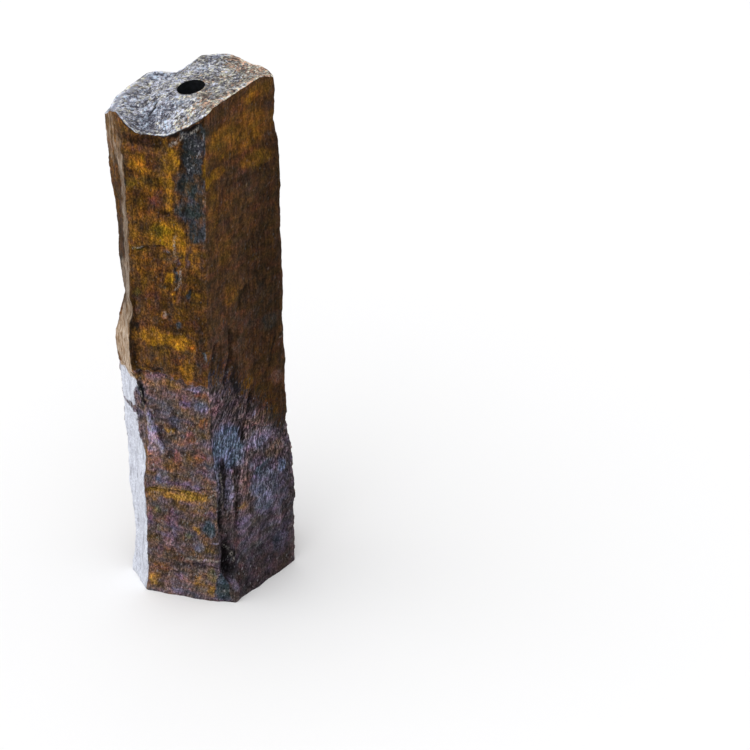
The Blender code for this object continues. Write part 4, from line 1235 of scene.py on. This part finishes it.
# ---- Settings ------------------------------------------------------------------------------------
class StoneLook(bpy.types.PropertyGroup):
    """Sizes of the column's break and finish."""

    bore_diameter: bpy.props.FloatProperty(
        name="Bore", description="Diameter of the drilled hole", default=0.036, min=0.01, unit="LENGTH")
    chip_size: bpy.props.FloatProperty(
        name="Chip size", description="Size of the flat chips in bare rock", default=0.021, unit="LENGTH")
    chip_depth: bpy.props.FloatProperty(
        name="Chip depth", description="How far the chips stand out", default=0.0017, unit="LENGTH")
    flake_size: bpy.props.FloatProperty(
        name="Flake size", description="Size of the small flakes", default=0.0075, unit="LENGTH")
    flake_depth: bpy.props.FloatProperty(
        name="Flake depth", description="How far the flakes stand out", default=0.0006, unit="LENGTH")
    striae_depth: bpy.props.FloatProperty(
        name="Striae depth", description="Depth of the upright striae", default=0.0014, unit="LENGTH")
    hackle_depth: bpy.props.FloatProperty(
        name="Hackle depth", description="Depth of the slanting ridges in bare rock", default=0.0036,
        unit="LENGTH")
    grain_depth: bpy.props.FloatProperty(
        name="Grain depth", description="Depth of the stone's grain in the mesh", default=0.0005,
        unit="LENGTH")
    bump_depth: bpy.props.FloatProperty(
        name="Bump depth", description="Depth of the finest grain, in the shading", default=0.0011,
        unit="LENGTH")
    seed: bpy.props.IntProperty(name="Seed", description="Another seed gives another break", default=4)


class StudioLook(bpy.types.PropertyGroup):
    """The floor, the lights and the camera."""

    floor_size: bpy.props.FloatProperty(
        name="Floor", description="Side of the floor", default=14.0, unit="LENGTH")
    floor_colour: bpy.props.FloatVectorProperty(
        name="Floor colour", description="Colour of the floor", subtype="COLOR", default=(0.90, 0.90, 0.905))
    sky: bpy.props.FloatProperty(name="Sky", description="Brightness of the white surround", default=0.75)
    key: bpy.props.FloatProperty(name="Key light", description="Strength of the soft key light", default=1.6)
    key_spread: bpy.props.FloatProperty(
        name="Key spread", description="Angle the key light spans", default=math.radians(100),
        unit="ROTATION")
    key_from: bpy.props.FloatVectorProperty(
        name="Key from", description="Direction the key light comes from", subtype="XYZ",
        default=(-0.50, -0.40, 0.80))
    lens: bpy.props.FloatProperty(
        name="Lens", description="Focal length of the camera, in mm", default=96.0, unit="CAMERA")
    pitch: bpy.props.FloatProperty(
        name="Pitch", description="How far down the camera looks", default=math.radians(31), unit="ROTATION")
    eye: bpy.props.FloatVectorProperty(
        name="Eye", description="Where the camera stands", subtype="TRANSLATION",
        default=(0.2327, -2.3553, 1.7324))


# ---- Operators -----------------------------------------------------------------------------------
class BASALT_OT_column(bpy.types.Operator):
    """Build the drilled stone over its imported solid"""

    bl_idname = "basalt.column"
    bl_label = "Basalt Column"

    def execute(self, context):
        look = context.scene.stone_look
        groups = {"mottle": mottle_group(), "ragged": ragged_group(), "specks": specks_group()}
        makers = (skin_material, head_material, bore_material, foot_material)
        finishes = {name: maker(groups, look) for name, maker in zip(FINISHES, makers)}
        net = Net(look.bore_diameter / 2)
        stone = bpy.data.objects.new("basalt_stone", stone_mesh(net))
        context.scene.collection.objects.link(stone)
        sizes = {name: getattr(look, name.lower().replace(" ", "_")) for name in (*BREAK_SIZES, "Seed")}
        stone.data = with_tree(stone, hackle_tree(), {**sizes, **finishes})
        self.mark_shade_and_wear(stone.data, net.points.shape)
        stone.data.shade_smooth()
        used = np.empty(len(stone.data.polygons), np.int32)
        stone.data.polygons.foreach_get("material_index", used)
        if {stone.data.materials[number] for number in np.unique(used)} != set(finishes.values()):
            raise RuntimeError("a zone of the stone is without its finish")
        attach(stone, "root")
        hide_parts("basalt_column")
        return {"FINISHED"}

    def mark_shade_and_wear(self, mesh, shape):
        """Stores how far each vertex stands out of the skin round it, for painted shade in the hollows and
        paler worn edges.
        """
        points, normals = np.empty(shape, np.float32), np.empty(shape, np.float32)
        mesh.vertices.foreach_get("co", points.ravel())
        mesh.vertex_normals.foreach_get("vector", normals.ravel())
        shade_and_wear = sum(((points - blurred(points, passes)) * normals).sum(axis=-1) / unit_height
                   for passes, unit_height in SHADE_AND_WEAR_SCALES)
        store(mesh, "shade_and_wear", np.clip(shade_and_wear, -2, 2).ravel())


class BASALT_OT_studio(bpy.types.Operator):
    """Lay the pale floor and set the lights and the camera"""

    bl_idname = "basalt.studio"
    bl_label = "Studio"

    def execute(self, context):
        look = context.scene.studio_look
        self.floor(context, look)
        self.sky(context, look)
        self.key_light(context, look)
        self.camera(context, look)
        context.scene.view_settings.view_transform = "Standard"
        return {"FINISHED"}

    def floor(self, context, look):
        half = look.floor_size / 2
        mesh = bpy.data.meshes.new("floor")
        corners = [(-half, -half, 0), (half, -half, 0), (half, half, 0), (-half, half, 0)]
        mesh.from_pydata(corners, [], [(0, 1, 2, 3)])
        material = bpy.data.materials.new("pale_floor")
        material.use_nodes = True
        shader = material.node_tree.nodes["Principled BSDF"]
        shader.inputs["Base Color"].default_value = (*look.floor_colour, 1)
        shader.inputs["Roughness"].default_value = 0.7
        mesh.materials.append(material)
        floor = bpy.data.objects.new("floor", mesh)
        floor.location.z = CAD_LOW[2] - FLOOR_GAP
        context.scene.collection.objects.link(floor)

    def sky(self, context, look):
        world = bpy.data.worlds.new("white_surround")
        world.use_nodes = True
        background = world.node_tree.nodes["Background"]
        background.inputs["Color"].default_value = (1, 1, 1, 1)
        background.inputs["Strength"].default_value = look.sky
        context.scene.world = world

    def key_light(self, context, look):
        data = bpy.data.lights.new("key_light", "SUN")
        data.energy, data.angle = look.key, look.key_spread
        lamp = bpy.data.objects.new("key_light", data)
        lamp.rotation_euler = Vector(look.key_from).to_track_quat("Z", "Y").to_euler()
        context.scene.collection.objects.link(lamp)

    def camera(self, context, look):
        data = bpy.data.cameras.new("camera")
        data.lens, data.sensor_width = look.lens, SENSOR_WIDTH
        camera = bpy.data.objects.new("camera", data)
        camera.location = look.eye
        camera.rotation_euler = (math.pi / 2 - look.pitch, 0, 0)
        context.scene.collection.objects.link(camera)
        context.scene.camera = camera


# ---- Panel ---------------------------------------------------------------------------------------
class BASALT_PT_panel(bpy.types.Panel):
    """Lists the stone, the studio and their settings"""

    bl_idname = "BASALT_PT_panel"
    bl_label = "Basalt Column"
    bl_space_type = "VIEW_3D"
    bl_region_type = "UI"
    bl_category = "Stone"

    def draw(self, context):
        scene = context.scene
        for look, operator in ((scene.stone_look, BASALT_OT_column), (scene.studio_look, BASALT_OT_studio)):
            box = self.layout.box()
            for name in look.__annotations__:
                box.prop(look, name)
            box.operator(operator.bl_idname)


CLASSES = (StoneLook, StudioLook, BASALT_OT_column, BASALT_OT_studio, BASALT_PT_panel)


def register():
    for cls in CLASSES:
        bpy.utils.register_class(cls)
    bpy.types.Scene.stone_look = bpy.props.PointerProperty(type=StoneLook)
    bpy.types.Scene.studio_look = bpy.props.PointerProperty(type=StudioLook)


def unregister():
    del bpy.types.Scene.stone_look, bpy.types.Scene.studio_look
    for cls in reversed(CLASSES):
        bpy.utils.unregister_class(cls)


def main():
    register()
    bpy.ops.basalt.column()
    bpy.ops.basalt.studio()


if __name__ == "__main__":
    main()
